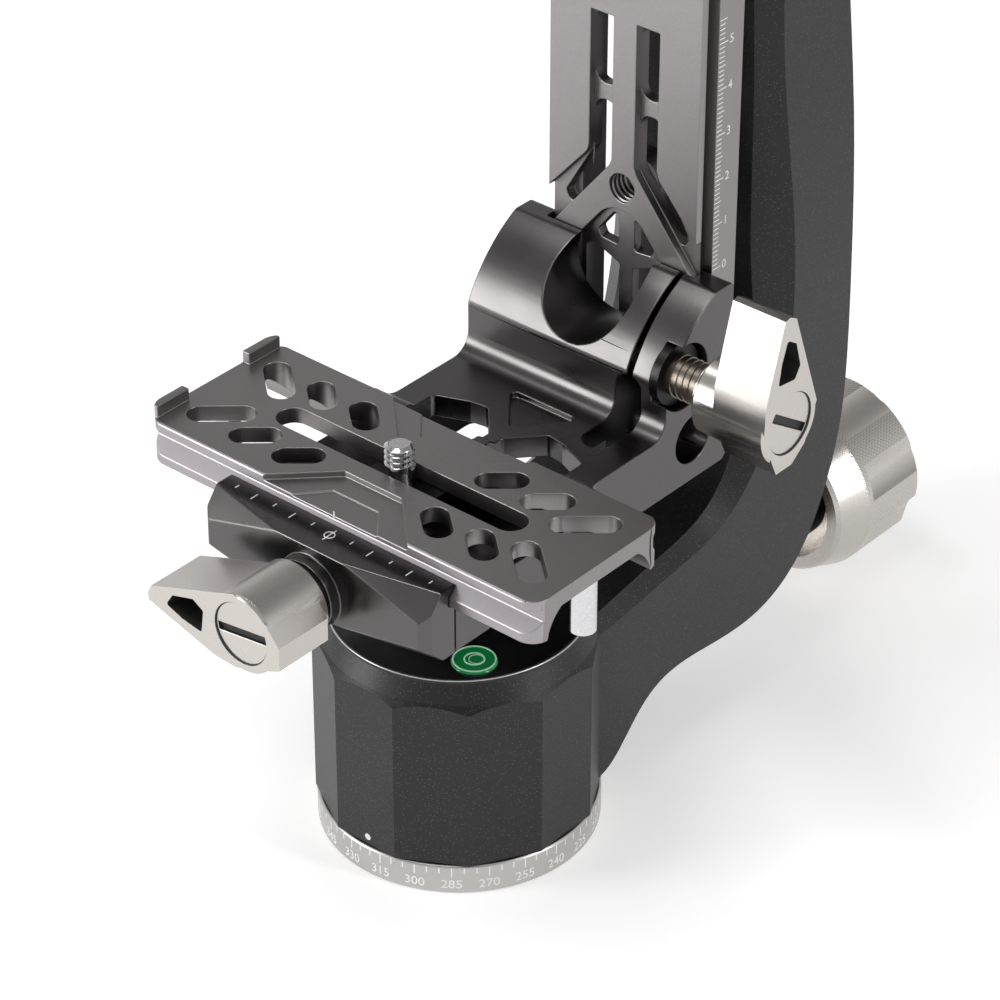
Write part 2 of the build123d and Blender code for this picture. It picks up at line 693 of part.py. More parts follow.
with BuildPart() as swing_rail:
    with BuildSketch(plan_view):
        with BuildLine():
            Polyline(
                (flange_side, rail_front),
                (flange_side, rail_front + flange_edge),
                (groove_side, groove_bottom),
                (rail_side, groove_bottom),
                (rail_side, rail_back),
                (-rail_side, rail_back),
                (-rail_side, groove_bottom),
                (-groove_side, groove_bottom),
                (-flange_side, rail_front + flange_edge),
                (-flange_side, rail_front),
                close=True,
            )
        make_face()
    extrude(amount=tilt_height - rail_bottom)
    with BuildSketch(axis_plane(0, rail_front, tilt_height, ALONG_Y)):
        Circle(rail_head_radius)
    extrude(amount=rail_back - rail_front)
    # hollow between the two side walls, open to the back
    with BuildSketch(front_view):
        with Locations((0, (channel_bottom + channel_top) / 2)):
            RectangleRounded(2 * channel_side, channel_top - channel_bottom, channel_corner)
    extrude(amount=-rail_back, mode=Mode.SUBTRACT)
    # front plate with its spine, legs and side panels
    with BuildSketch(rail_face):
        with Locations((0, (channel_bottom + channel_top) / 2)):
            RectangleRounded(2 * channel_side + 2, channel_top - channel_bottom + 2, channel_corner)
    extrude(amount=-front_plate)
    with BuildSketch(axis_plane(0, rail_front, accessory_thread_height, ALONG_Y)):
        Circle(accessory_boss_radius)
    extrude(amount=accessory_thread_length)
    # lower level on both sides of the spine, which runs out to the sides above each leg
    with BuildSketch(rail_face) as side_pocket:
        with BuildLine():
            Polyline(
                (spine_half, window_top),
                (spine_half, spine_foot),
                leg_top,
                (past_side, leg_at_side),
                (past_side, panel_at_side),
                (panel_edge, panel_knee),
                (panel_edge, window_top),
                close=True,
            )
        make_face()
        bends = side_pocket.vertices()
        fillet(bends.sort_by_distance((*leg_top, 0))[0], leg_bend)
        fillet(side_pocket.vertices().sort_by_distance((panel_edge, panel_knee, 0))[0], leg_bend)
        mirror(about=Plane.YZ)
    extrude(amount=-pocket_depth, mode=Mode.SUBTRACT)
    # lower level between the legs
    with BuildSketch(rail_face) as arch_pocket:
        with BuildLine():
            ThreePointArc(arch_side, (0, arch_top), (-arch_side[0], arch_side[1]))
            Polyline(
                (-arch_side[0], arch_side[1]),
                (-arch_knee[0], arch_knee[1]),
                (-arch_knee[0], arch_foot),
                (arch_knee[0], arch_foot),
                arch_knee,
                arch_side,
            )
        make_face()
    extrude(amount=-pocket_depth, mode=Mode.SUBTRACT)
    # windows that go through the front plate
    with BuildSketch(rail_face) as lower_windows:
        with BuildLine():
            Polyline(
                (spine_half, bar_low),
                (spine_half, spine_foot),
                (leg_top[0] + 0.3, leg_top[1]),
                (window_end, leg_at_window),
                (window_end + 1.4, leg_at_window + 2.6),
                (panel_edge, panel_knee),
                (panel_edge, bar_low),
                close=True,
            )
        make_face()
        window_corners = lower_windows.vertices()
        fillet(window_corners.group_by(Axis.Y)[-1], window_round)
        fillet(lower_windows.vertices().sort_by_distance((window_end + 0.7, leg_at_window, 0))[:2], 1.0)
        mirror(about=Plane.YZ)
    extrude(amount=-front_plate, mode=Mode.SUBTRACT)
    with BuildSketch(rail_face) as upper_windows:
        with Locations(((spine_half + panel_edge) / 2, (bar_high + window_top) / 2)):
            RectangleRounded(panel_edge - spine_half, window_top - bar_high, window_round)
        mirror(about=Plane.YZ)
    extrude(amount=-front_plate, mode=Mode.SUBTRACT)
    with BuildSketch(rail_face) as arch_windows:
        with BuildLine():
            Polyline(
                (strut_half + 0.3, arch_top - 2.4),
                (strut_half + 1.6, arch_top - 2.4),
                (arch_side[0] + 1.6, arch_side[1] - 4.8),
                (arch_side[0] + 0.8, arch_side[1] - 6.4),
                (strut_half + 0.3, arch_side[1] - 6.8),
                close=True,
            )
        make_face()
        with BuildLine():
            Polyline(
                (strut_half, lower_strut),
                (arch_knee[0] - 2.4, lower_strut + 3.0),
                (arch_knee[0] - 1.4, lower_strut + 1.4),
                (arch_knee[0] - 1.4, arch_foot + 3.0),
                (strut_half, arch_foot + 3.0),
                close=True,
            )
        make_face()
        mirror(about=Plane.YZ)
        fillet(arch_windows.vertices(), 0.7)
    extrude(amount=-front_plate, mode=Mode.SUBTRACT)
    with Locations(Location((0, rail_front, accessory_thread_height), (90, 0, 0))):
        Hole(accessory_thread_radius, accessory_thread_length + 0.01)
    # seats for the axle screws
    with BuildSketch(axis_plane(0, rail_back, tilt_height, ALONG_Y)):
        with PolarLocations(axle_screw_circle, 4, start_angle=45):
            Circle(axle_screw_radius + seat_gap)
    extrude(amount=-(axle_screw_bite + 0.2), mode=Mode.SUBTRACT)
    # seats for the screws of the end stop
    with BuildSketch(plan_view):
        with Locations((-end_screw_x, end_screw_y), (end_screw_x, end_screw_y)):
            Circle(end_screw_radius + seat_gap)
    extrude(amount=end_screw_bite + 0.2, mode=Mode.SUBTRACT)

with BuildPart() as rail_front_cap:
    with BuildSketch(axis_plane(0, rail_front, tilt_height, ALONG_Y)):
        Circle(rail_cap_radius)
    extrude(amount=-rail_cap_stand)
    chamfer(rail_front_cap.faces().sort_by(Axis.Y)[0].edges(), 0.5)

with BuildPart() as rail_end_stop:
    with BuildSketch(Plane.XY.offset(rail_bottom - end_stop_thickness)):
        with BuildLine():
            Polyline(
                (-rail_side + 4.0, rail_front - end_stop_lip),
                (rail_side - 4.0, rail_front - end_stop_lip),
                (rail_side - 1.0, rail_back - 1.0),
                (1.0 - rail_side, rail_back - 1.0),
                close=True,
            )
        make_face()
        with Locations((-end_screw_x, end_screw_y), (end_screw_x, end_screw_y)):
            Circle(end_screw_radius + seat_gap, mode=Mode.SUBTRACT)
    extrude(amount=end_stop_thickness)

with BuildPart() as end_stop_screws:
    with BuildSketch(Plane.XY.offset(rail_bottom - end_stop_thickness)):
        with Locations((-end_screw_x, end_screw_y), (end_screw_x, end_screw_y)):
            Circle(end_screw_radius)
            RegularPolygon(0.8, 6, mode=Mode.SUBTRACT)
    extrude(amount=end_stop_thickness + end_screw_bite)

# ================================================================ platform bracket
split_y = plate_front + 2.0  # front face of the fixed half of the clamp
slope_shift = jaw_clearance * sqrt(2)
rear_wall = plate_rear + jaw_clearance
lip_top = plate_bottom + plate_lip
rear_lip_z = lip_top + slope_shift - jaw_clearance
rear_lip_top_y = plate_rear + lip_top + slope_shift - jaw_top
hook_x = flange_side + face_gap
hook_slope = flange_side + rail_front + flange_edge + face_gap * sqrt(2)
hollow_side = bracket_side - 4.5
hollow_front = 3.0
hollow_back = block_front - 3.0

with BuildPart() as bracket_blank:
    with BuildSketch(side_view) as bracket_profile:
        with BuildLine():
            Polyline(
                (split_y, shelf_bottom),
                (split_y, clamp_floor),
                (rear_wall, clamp_floor),
                (rear_wall, rear_lip_z),
                (rear_lip_top_y, jaw_top),
                (8.0, jaw_top),
                (9.4, shelf_top),
                (block_front, shelf_top),
                (block_front, block_nose),
            )
            ThreePointArc((block_front, block_nose), block_bulge, (block_top_front, block_top))
            Polyline(
                (block_top_front, block_top),
                (hook_end, block_top),
                (hook_end, shelf_bottom + 2.0),
                (hook_end - 2.0, shelf_bottom),
                (split_y, shelf_bottom),
            )
        make_face()
        # in the sketch, X runs along the part's Y and Y runs up
        corners = bracket_profile.vertices()
        inner_corner = corners.sort_by_distance((block_front, shelf_top, 0))[0]
        fillet(inner_corner, shelf_corner)
        nose_corner = bracket_profile.vertices().sort_by_distance((block_front, block_nose, 0))[0]
        fillet(nose_corner, 4.0)
        top_corner = bracket_profile.vertices().sort_by_distance((block_top_front, block_top, 0))[0]
        fillet(top_corner, 2.5)
        rear_corner = bracket_profile.vertices().sort_by_distance((hook_end, block_top, 0))[0]
        fillet(rear_corner, 1.4)
    extrude(amount=clamp_side, both=True)
    # narrower behind the clamp, with a rounded inner corner on each side
    with BuildSketch(Plane.XY.offset(shelf_bottom)) as waist:
        with BuildLine():
            Polyline(
                (bracket_side, 8.0),
                (clamp_side + 5, 8.0),
                (clamp_side + 5, hook_end + 5),
                (bracket_side, hook_end + 5),
                close=True,
            )
        make_face()
        fillet(waist.vertices().sort_by(Axis.X)[:2].sort_by(Axis.Y)[0], 3.6)
        mirror(about=Plane.YZ)
    extrude(amount=block_top - shelf_bottom + 1, mode=Mode.SUBTRACT)
    # channel for the rail, whose dovetail the two hooks hold
    with BuildSketch(Plane.XY.offset(shelf_bottom - 1)):
        with BuildLine():
            Polyline(
                (-hook_x, rail_front - face_gap),
                (hook_x, rail_front - face_gap),
                (hook_x, hook_slope - hook_x),
                (hook_slope - hook_end, hook_end),
                (hook_slope - hook_end, hook_end + 1),
                (hook_end - hook_slope, hook_end + 1),
                (hook_end - hook_slope, hook_end),
                (-hook_x, hook_slope - hook_x),
                close=True,
            )
        make_face()
    extrude(amount=block_top - shelf_bottom + 2, mode=Mode.SUBTRACT)
    # scoop over the rail
    with BuildSketch(axis_plane(0, block_front - 5, notch_height, ALONG_Y)):
        Circle(notch_radius)
    extrude(amount=30, mode=Mode.SUBTRACT)
    # hollow under the shelf
    with BuildSketch(Plane.XY.offset(shelf_bottom)):
        with Locations((0, (hollow_front + hollow_back) / 2)):
            RectangleRounded(2 * hollow_side, hollow_back - hollow_front, 2.5)
    extrude(amount=shelf_top - shelf_thickness - shelf_bottom, mode=Mode.SUBTRACT)
    # windows of the shelf, and a shallow pocket between them
    with BuildSketch(Plane.XY.offset(shelf_bottom)) as shelf_windows:
        with BuildLine():
            Polyline(
                (1.7, 5.6),
                (1.7, 11.4),
                (8.0, 18.4),
                (12.0, 17.8),
                (19.4, 14.8),
                (19.4, 5.6),
                close=True,
            )
        make_face()
        fillet(shelf_windows.vertices(), 1.4)
        mirror(about=Plane.YZ)
    extrude(amount=jaw_top - shelf_bottom, mode=Mode.SUBTRACT)
    with BuildSketch(Plane.XY.offset(shelf_top)) as shelf_pocket:
        with BuildLine():
            Polyline((-9.2, 26.8), (9.2, 26.8), (0, 15.6), close=True)
        make_face()
        fillet(shelf_pocket.vertices(), 1.2)
    extrude(amount=-shelf_pocket_depth, mode=Mode.SUBTRACT)
    # slit that lets the right ear close on the rail, and the pocket at its root
    with BuildSketch(Plane.XZ.offset(-block_front + 3)):
        with Locations((slit_x, (block_nose - 5 + block_top + 1) / 2)):
            Rectangle(slit_width, block_top - block_nose + 6)
    extrude(amount=-22, mode=Mode.SUBTRACT)
    with BuildSketch(Plane.XY.offset(shelf_bottom)):
        with Locations((slit_x, slit_pocket_y)):
            SlotOverall(slit_pocket_length, slit_pocket_width, rotation=90)
    extrude(amount=shelf_top - shelf_bottom + 1.5, mode=Mode.SUBTRACT)
    with BuildSketch(Plane.XZ.offset(-block_front + 3)):
        with Locations((slit_x, shelf_top + 2.5)):
            SlotOverall(slit_pocket_height, slit_pocket_width, rotation=90)
    extrude(amount=-11.5, mode=Mode.SUBTRACT)
    # lock stud, its counterbore, and the side holes
    with BuildSketch(axis_plane(stud_inner_end, lock_axis[0], lock_axis[1], ALONG_X)):
        Circle(stud_inner_radius + running)
    extrude(amount=bracket_side, mode=Mode.SUBTRACT)
    with BuildSketch(axis_plane(bracket_side, lock_axis[0], lock_axis[1], ALONG_X)):
        Circle(lock_counterbore_radius)
    extrude(amount=-lock_counterbore, mode=Mode.SUBTRACT)
    with BuildSketch(axis_plane(-bracket_side, side_hole[0], side_hole[1], ALONG_X)):
        Circle(side_hole_radius)
    extrude(amount=side_hole_depth, mode=Mode.SUBTRACT)
    with BuildSketch(axis_plane(bracket_side, side_hole[0], side_hole[1], ALONG_X)):
        Circle(side_hole_radius)
    extrude(amount=-side_hole_depth, mode=Mode.SUBTRACT)
    # seats of the clamp stud, the guide pins and their springs
    with BuildSketch(axis_plane(0, split_y, clamp_axis_height, ALONG_Y)):
        Circle(clamp_stud_radius + seat_gap)
        with Locations((-guide_pin_x, 0), (guide_pin_x, 0)):
            Circle(guide_pin_radius + seat_gap)
    extrude(amount=pin_bite, mode=Mode.SUBTRACT)
    with BuildSketch(axis_plane(0, split_y, clamp_axis_height, ALONG_Y)):
        with Locations((-guide_pin_x, 0), (guide_pin_x, 0)):
            Circle(guide_pin_radius + 1.3)
    extrude(amount=spring_length + 0.1, mode=Mode.SUBTRACT)

with BuildPart() as clamp_base:
    add(bracket_blank.part)
    split(bisect_by=Plane.XZ.offset(seat_gap - clamp_joint), keep=Keep.TOP)

with BuildPart() as platform_bracket:
    add(bracket_blank.part)
    split(bisect_by=Plane.XZ.offset(-clamp_joint), keep=Keep.BOTTOM)

with BuildPart() as clamp_stud:
    with BuildSketch(axis_plane(0, split_y + pin_bite, clamp_axis_height, ALONG_Y)):
        Circle(clamp_stud_radius)
    extrude(amount=-(split_y + pin_bite - lever_end_y - lever_end_wall - 0.4))

with BuildPart() as jaw_guide_pins:
    with BuildSketch(axis_plane(0, split_y + pin_bite, clamp_axis_height, ALONG_Y)):
        with Locations((-guide_pin_x, 0), (guide_pin_x, 0)):
            Circle(guide_pin_radius)
    extrude(amount=-(pin_bite + guide_pin_reach))

with BuildPart() as jaw_springs:
    with BuildSketch(axis_plane(0, split_y + spring_length, clamp_axis_height, ALONG_Y)):
        with Locations((-guide_pin_x, 0), (guide_pin_x, 0)):
            Circle(guide_pin_radius + 1.1)
            Circle(guide_pin_radius + running, mode=Mode.SUBTRACT)
    extrude(amount=-spring_length)

# ================================================================ moving jaw
jaw_rear = split_y - jaw_gap
jaw_front = jaw_rear - jaw_depth
front_wall = plate_front - jaw_clearance
front_lip_top_y = plate_front - lip_top - slope_shift + jaw_top
jaw_boss_end = lever_end_y + clamp_barrel_length + clamp_neck_length + clamp_washer_thickness + 0.1

with BuildPart() as clamp_jaw:
    with BuildSketch(side_view):
        with BuildLine():
            Polyline(
                (jaw_rear, jaw_bottom),
                (jaw_rear, clamp_floor),
                (front_wall, clamp_floor),
                (front_wall, rear_lip_z),
                (front_lip_top_y, jaw_top),
                (jaw_front, jaw_top),
                (jaw_front, jaw_bottom),
                close=True,
            )
        make_face()
    extrude(amount=clamp_side, both=True)
    with BuildSketch(Plane.XY.offset(jaw_bottom)):
        with BuildLine():
            Polyline(
                (-clamp_side, jaw_rear + 1),
                (-clamp_side, jaw_front + jaw_corner),
                (jaw_corner - clamp_side, jaw_front),
                (clamp_side - jaw_corner, jaw_front),
                (clamp_side, jaw_front + jaw_corner),
                (clamp_side, jaw_rear + 1),
                close=True,
            )
        make_face()
    extrude(amount=jaw_top - jaw_bottom, mode=Mode.INTERSECT)
    # a facet above and one below, which grow from the middle of the front towards each end
    for side in (-1, 1):
        upper_start = Vector(side * upper_facet[0], jaw_front, jaw_top)
        upper_run = Vector(side * (clamp_side - upper_facet[0]), upper_facet[1], 0)
        upper_normal = Vector(side * upper_facet[1] * upper_facet[2], -upper_run.X * side * upper_facet[2], 0)
        upper_normal += Vector(0, 0, upper_facet[1] * upper_run.X * side)
        with BuildSketch(Plane(origin=upper_start, x_dir=upper_run, z_dir=upper_normal)):
            Rectangle(4 * clamp_side, 2 * clamp_side)
        extrude(amount=clamp_side, mode=Mode.SUBTRACT)
        lower_start = Vector(side * lower_facet[0], jaw_front, jaw_bottom)
        lower_run = Vector(side * (clamp_side - lower_facet[0]), 0, lower_facet[2])
        lower_normal = Vector(side * lower_facet[1] * lower_facet[2], -lower_run.X * side * lower_facet[2], 0)
        lower_normal -= Vector(0, 0, lower_facet[1] * lower_run.X * side)
        with BuildSketch(Plane(origin=lower_start, x_dir=lower_run, z_dir=lower_normal)):
            Rectangle(4 * clamp_side, 2 * clamp_side)
        extrude(amount=clamp_side, mode=Mode.SUBTRACT)
    with BuildSketch(axis_plane(0, jaw_front + 3.0, clamp_axis_height, ALONG_Y)):
        Circle(jaw_boss_radius)
    extrude(amount=jaw_boss_end - jaw_front - 3.0)
    with BuildSketch(axis_plane(0, jaw_rear, clamp_axis_height, ALONG_Y)):
        Circle(clamp_stud_radius + running)
    extrude(amount=-2 * jaw_depth, mode=Mode.SUBTRACT)
    with BuildSketch(axis_plane(0, jaw_rear, clamp_axis_height, ALONG_Y)):
        with Locations((-guide_pin_x, 0), (guide_pin_x, 0)):
            Circle(guide_pin_radius + running)
    extrude(amount=-guide_pin_reach, mode=Mode.SUBTRACT)


# ================================================================ lever knobs
def lever_knob(face, barrel_length, wing_length, neck_length, neck_radius, bore_radius):
    """Barrel, neck and winged grip. The plane's Z is the way out, its X the way of the wing."""
    with BuildPart() as knob:
        with BuildSketch(face.offset(-barrel_length)):
            Circle(barrel_radius)
        extrude(amount=barrel_length)
        chamfer(knob.edges().filter_by(GeomType.CIRCLE), 0.6)
        with BuildSketch(face.offset(-barrel_length - neck_length)):
            Circle(neck_radius)
        extrude(amount=neck_length)
        with BuildSketch(face.offset(-wing_length)) as wing:
            with BuildLine():
                Polyline(
                    (1.5, barrel_radius - 0.2),
                    (7.2, barrel_radius - 0.5),
                    (wing_reach, 3.1),
                    (wing_reach + 0.3, 1.6),
                    (wing_reach - 0.8, -0.5),
                    (1.5, 0.2 - barrel_radius),
                    (-6.8, -5.0),
                    (-9.9, -1.0),
                    (-9.9, 4.0),
                    (-6.4, 5.6),
                    close=True,
                )
            make_face()
        extrude(amount=wing_length)
        with BuildSketch(face) as window:
            with BuildLine():
                Polyline(wing_window, close=True)
            make_face()
            fillet(window.vertices(), 0.55)
        extrude(amount=-wing_length, mode=Mode.SUBTRACT)
        with BuildSketch(face):
            Circle(lever_cap_radius)
        extrude(amount=-lever_cap_depth, mode=Mode.SUBTRACT)
        with BuildSketch(face.offset(-barrel_length - neck_length)):
            Circle(bore_radius)
        extrude(amount=barrel_length + neck_length - lever_end_wall, mode=Mode.SUBTRACT)
    return knob


def lever_cap(face, slot_turn):
    """Slotted cap that closes the outer end of a lever knob."""
    with BuildPart() as cap:
        with BuildSketch(face.offset(-lever_cap_depth)):
            Circle(lever_cap_radius - seat_gap)
        extrude(amount=lever_cap_depth - lever_cap_sink)
        with BuildSketch(face.offset(-lever_cap_sink)):
            Rectangle(cap_slot_width, cap_slot_length, rotation=slot_turn)
        extrude(amount=-cap_slot_depth, mode=Mode.SUBTRACT)
    return cap


lock_face = Plane(origin=(lever_end_x, *lock_axis), x_dir=(0, 0, 1), z_dir=(1, 0, 0))
clamp_face = Plane(origin=(0, lever_end_y, clamp_axis_height), x_dir=(-1, 0, 0), z_dir=(0, -1, 0))
lock_floor = bracket_side - lock_counterbore
lock_bore = stud_radius + seat_gap
lock_lever = lever_knob(
    lock_face, lock_barrel_length, lock_wing_length, lock_neck_length, lock_neck_radius, lock_bore
)
lock_lever_cap = lever_cap(lock_face, lock_slot_turn)
clamp_bore = clamp_stud_radius + running
clamp_lever = lever_knob(
    clamp_face, clamp_barrel_length, clamp_wing_length, clamp_neck_length, clamp_neck_radius, clamp_bore
)
clamp_lever_cap = lever_cap(clamp_face, clamp_slot_turn)

with BuildPart() as lock_stud:
    with BuildSketch(axis_plane(stud_inner_end + 0.1, lock_axis[0], lock_axis[1], ALONG_X)):
        Circle(stud_inner_radius)
    extrude(amount=lever_end_x - lever_end_wall - stud_inner_end - 0.1)
    with BuildSketch(axis_plane(lock_floor + 0.1, lock_axis[0], lock_axis[1], ALONG_X)):
        Circle(stud_radius)
    extrude(amount=lever_end_x - lever_end_wall - lock_floor - 0.1)

with BuildPart() as lock_washer:
    with BuildSketch(axis_plane(lock_floor + 0.1, lock_axis[0], lock_axis[1], ALONG_X)):
        Circle(lock_washer_radius)
        Circle(stud_radius + seat_gap, mode=Mode.SUBTRACT)
    extrude(amount=lock_washer_thickness)

with BuildPart() as clamp_washer:
    with BuildSketch(axis_plane(0, jaw_boss_end - 0.05, clamp_axis_height, ALONG_Y)):
        Circle(clamp_washer_radius)
        Circle(clamp_stud_radius + running, mode=Mode.SUBTRACT)
    extrude(amount=-clamp_washer_thickness)

# ================================================================ lens plate
leg_inner = 15.2
web_side = 11.0
web_bottom = plate_top - plate_web
screw_seat = web_bottom - slider_thickness - 0.2
neck_side = plate_half - plate_slope
flange_bottom = plate_top - plate_flange
plate_view = Plane(origin=(0, plate_centre_y, 0), x_dir=(0, 1, 0), z_dir=(1, 0, 0))
plate_deck = Plane(origin=(0, plate_centre_y, plate_top), x_dir=(1, 0, 0), z_dir=(0, 0, 1))
plate_slots = [(39.6, 8.2, 14.0), (29.2, 9.6, 10.6), (17.8, 9.5, 10.6)]  # X, Y and length in a quarter
slot_angle = 41.0

with BuildPart() as lens_plate:
    with BuildSketch(plate_view):
        with BuildLine():
            Polyline(
                (-web_side, web_bottom),
                (web_side, web_bottom),
            )
            RadiusArc((web_side, web_bottom), (leg_inner, plate_bottom), 8.5)
            Polyline(
                (leg_inner, plate_bottom),
                (plate_half, plate_bottom),
                (plate_half, lip_top),
                (neck_side, lip_top + plate_slope),
                (neck_side, flange_bottom),
                (plate_half, flange_bottom),
                (plate_half, plate_top - 0.4),
                (plate_half - 0.4, plate_top),
                (0.4 - plate_half, plate_top),
                (-plate_half, plate_top - 0.4),
                (-plate_half, flange_bottom),
                (-neck_side, flange_bottom),
                (-neck_side, lip_top + plate_slope),
                (-plate_half, lip_top),
                (-plate_half, plate_bottom),
                (-leg_inner, plate_bottom),
            )
            RadiusArc((-leg_inner, plate_bottom), (-web_side, web_bottom), 8.5)
        make_face()
    extrude(amount=plate_length / 2, both=True)
    with BuildSketch(plate_deck):
        with Locations((0.95 - plate_length / 2, -13.1), (0.95 - plate_length / 2, 13.1)):
            Rectangle(1.9, 9.0)
    extrude(amount=2.6)
    with BuildSketch(Plane.XY.offset(plate_bottom)):
        with Locations((0, plate_centre_y)):
            RectangleRounded(plate_length, plate_width, plate_corner)
    extrude(amount=plate_thickness + 3, mode=Mode.INTERSECT)
    with BuildSketch(plate_deck):
        for x_side in (-1, 1):
            for y_side in (-1, 1):
                for x, y, length in plate_slots:
                    with Locations((x_side * x, y_side * y)):
                        SlotOverall(length, slot_width, rotation=slot_angle * x_side * y_side)
        SlotOverall(screw_slot_length, screw_slot_width)
    extrude(amount=-plate_thickness, mode=Mode.SUBTRACT)
    with BuildSketch(plate_deck):
        with BuildLine():
            Polyline(
                (-18.6, -plate_half - 1),
                (-18.6, -plate_half),
                (-7.3, -7.7),
                (7.3, -7.7),
                (18.6, -plate_half),
                (18.6, -plate_half - 1),
                close=True,
            )
        make_face()
        mirror(about=Plane.XZ)
    extrude(amount=-1.3, mode=Mode.SUBTRACT)
    with BuildSketch(plate_deck.offset(-1.3)):
        with BuildLine():
            Polyline(
                (-11.0, -plate_half - 1),
                (-11.0, -plate_half),
                (-5.8, -12.6),
                (5.8, -12.6),
                (11.0, -plate_half),
                (11.0, -plate_half - 1),
                close=True,
            )
        make_face()
        mirror(about=Plane.XZ)
    extrude(amount=-0.35, mode=Mode.SUBTRACT)
    with BuildSketch(Plane.XY.offset(web_bottom)):
        with Locations((-stop_pin_x, plate_centre_y), (stop_pin_x, plate_centre_y)):
            Circle(stop_pin_radius + seat_gap)
    extrude(amount=plate_web - 0.8, mode=Mode.SUBTRACT)

with BuildPart() as plate_stop_pins:
    with BuildSketch(Plane.XY.offset(plate_bottom - stop_pin_drop)):
        with Locations((-stop_pin_x, plate_centre_y), (stop_pin_x, plate_centre_y)):
            Circle(stop_pin_radius)
    extrude(amount=plate_top - 0.8 - plate_bottom + stop_pin_drop)
    chamfer(plate_stop_pins.edges().group_by(Axis.Z)[0], 0.4)

with BuildPart() as screw_slider:
    with BuildSketch(Plane.XY.offset(web_bottom - 0.1)):
        with Locations((0, plate_centre_y)):
            Rectangle(slider_length, 2 * web_side - 0.6)
            Circle(screw_shank_radius + running, mode=Mode.SUBTRACT)
    extrude(amount=-slider_thickness)

with BuildPart() as camera_screw:
    with BuildSketch(Plane.XY.offset(screw_seat)):
        with Locations((0, plate_centre_y)):
            Circle(screw_head_radius)
    extrude(amount=-screw_head_height)
    with BuildSketch(Plane.XY.offset(screw_seat - screw_head_height)):
        with Locations((0, plate_centre_y)):
            Rectangle(1.4 * screw_head_radius, 1.6)
    extrude(amount=1.4, mode=Mode.SUBTRACT)
    with BuildSketch(Plane.XY.offset(screw_seat)):
        with Locations((0, plate_centre_y)):
            Circle(screw_shank_radius)
    extrude(amount=plate_top - screw_seat)
    with BuildSketch(Plane.XY.offset(plate_top)):
        with Locations((0, plate_centre_y)):
            Circle(camera_thread_radius)
    extrude(amount=camera_thread_top - plate_top)
    chamfer(camera_screw.edges().group_by(Axis.Z)[-1], 0.6)

# ================================================================ files
pieces = {
    "scale_ring": scale_ring,
    "base_plate": base_plate,
    "pan_spindle": pan_spindle,
    "thread_insert": thread_insert,
    "base_screws": base_screws,
    "thrust_washer": thrust_washer,
    "pan_bearing_inner": pan_bearing_inner,
    "spindle_nut": spindle_nut,
    "arm_frame": arm_frame,
    "top_cover": top_cover,
    "level_vial": level_vial,
    "pan_bush": pan_bush,
    "pan_bearing_outer": pan_bearing_outer,
    "pan_brake_pad": pan_brake_pad,
    "tilt_race_outer_front": tilt_race_outer_front,
    "tilt_race_outer_rear": tilt_race_outer_rear,
    "tilt_cover": tilt_cover,
    "tilt_cover_screws": tilt_cover_screws,
    "tilt_brake_pad": tilt_brake_pad,
    "pan_knob_grip": pan_knob_grip,
    "pan_knob_rod": pan_knob_rod,
    "pan_knob_cap": pan_knob_cap,
    "tilt_knob_grip": tilt_knob_grip,
    "tilt_knob_rod": tilt_knob_rod,
    "tilt_knob_cap": tilt_knob_cap,
    "swing_rail": swing_rail,
    "rail_front_cap": rail_front_cap,
    "rail_end_stop": rail_end_stop,
    "end_stop_screws": end_stop_screws,
    "tilt_axle": tilt_axle,
    "axle_screws": axle_screws,
    "axle_nut": axle_nut,
    "tilt_race_inner_front": tilt_race_inner_front,
    "tilt_race_inner_rear": tilt_race_inner_rear,
    "platform_bracket": platform_bracket,
    "clamp_base": clamp_base,
    "clamp_stud": clamp_stud,
    "jaw_guide_pins": jaw_guide_pins,
    "jaw_springs": jaw_springs,
    "lock_lever": lock_lever,
    "lock_lever_cap": lock_lever_cap,
    "lock_stud": lock_stud,
    "lock_washer": lock_washer,
    "clamp_jaw": clamp_jaw,
    "clamp_lever": clamp_lever,
    "clamp_lever_cap": clamp_lever_cap,
    "clamp_washer": clamp_washer,
    "lens_plate": lens_plate,
    "plate_stop_pins": plate_stop_pins,
    "screw_slider": screw_slider,
    "camera_screw": camera_screw,
}

os.makedirs("parts", exist_ok=True)
for name, piece in pieces.items():
    piece.part.label = name
    export_step(piece.part, f"parts/{name}.step")
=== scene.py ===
import json
import math
import bpy
from mathutils import Matrix, Vector

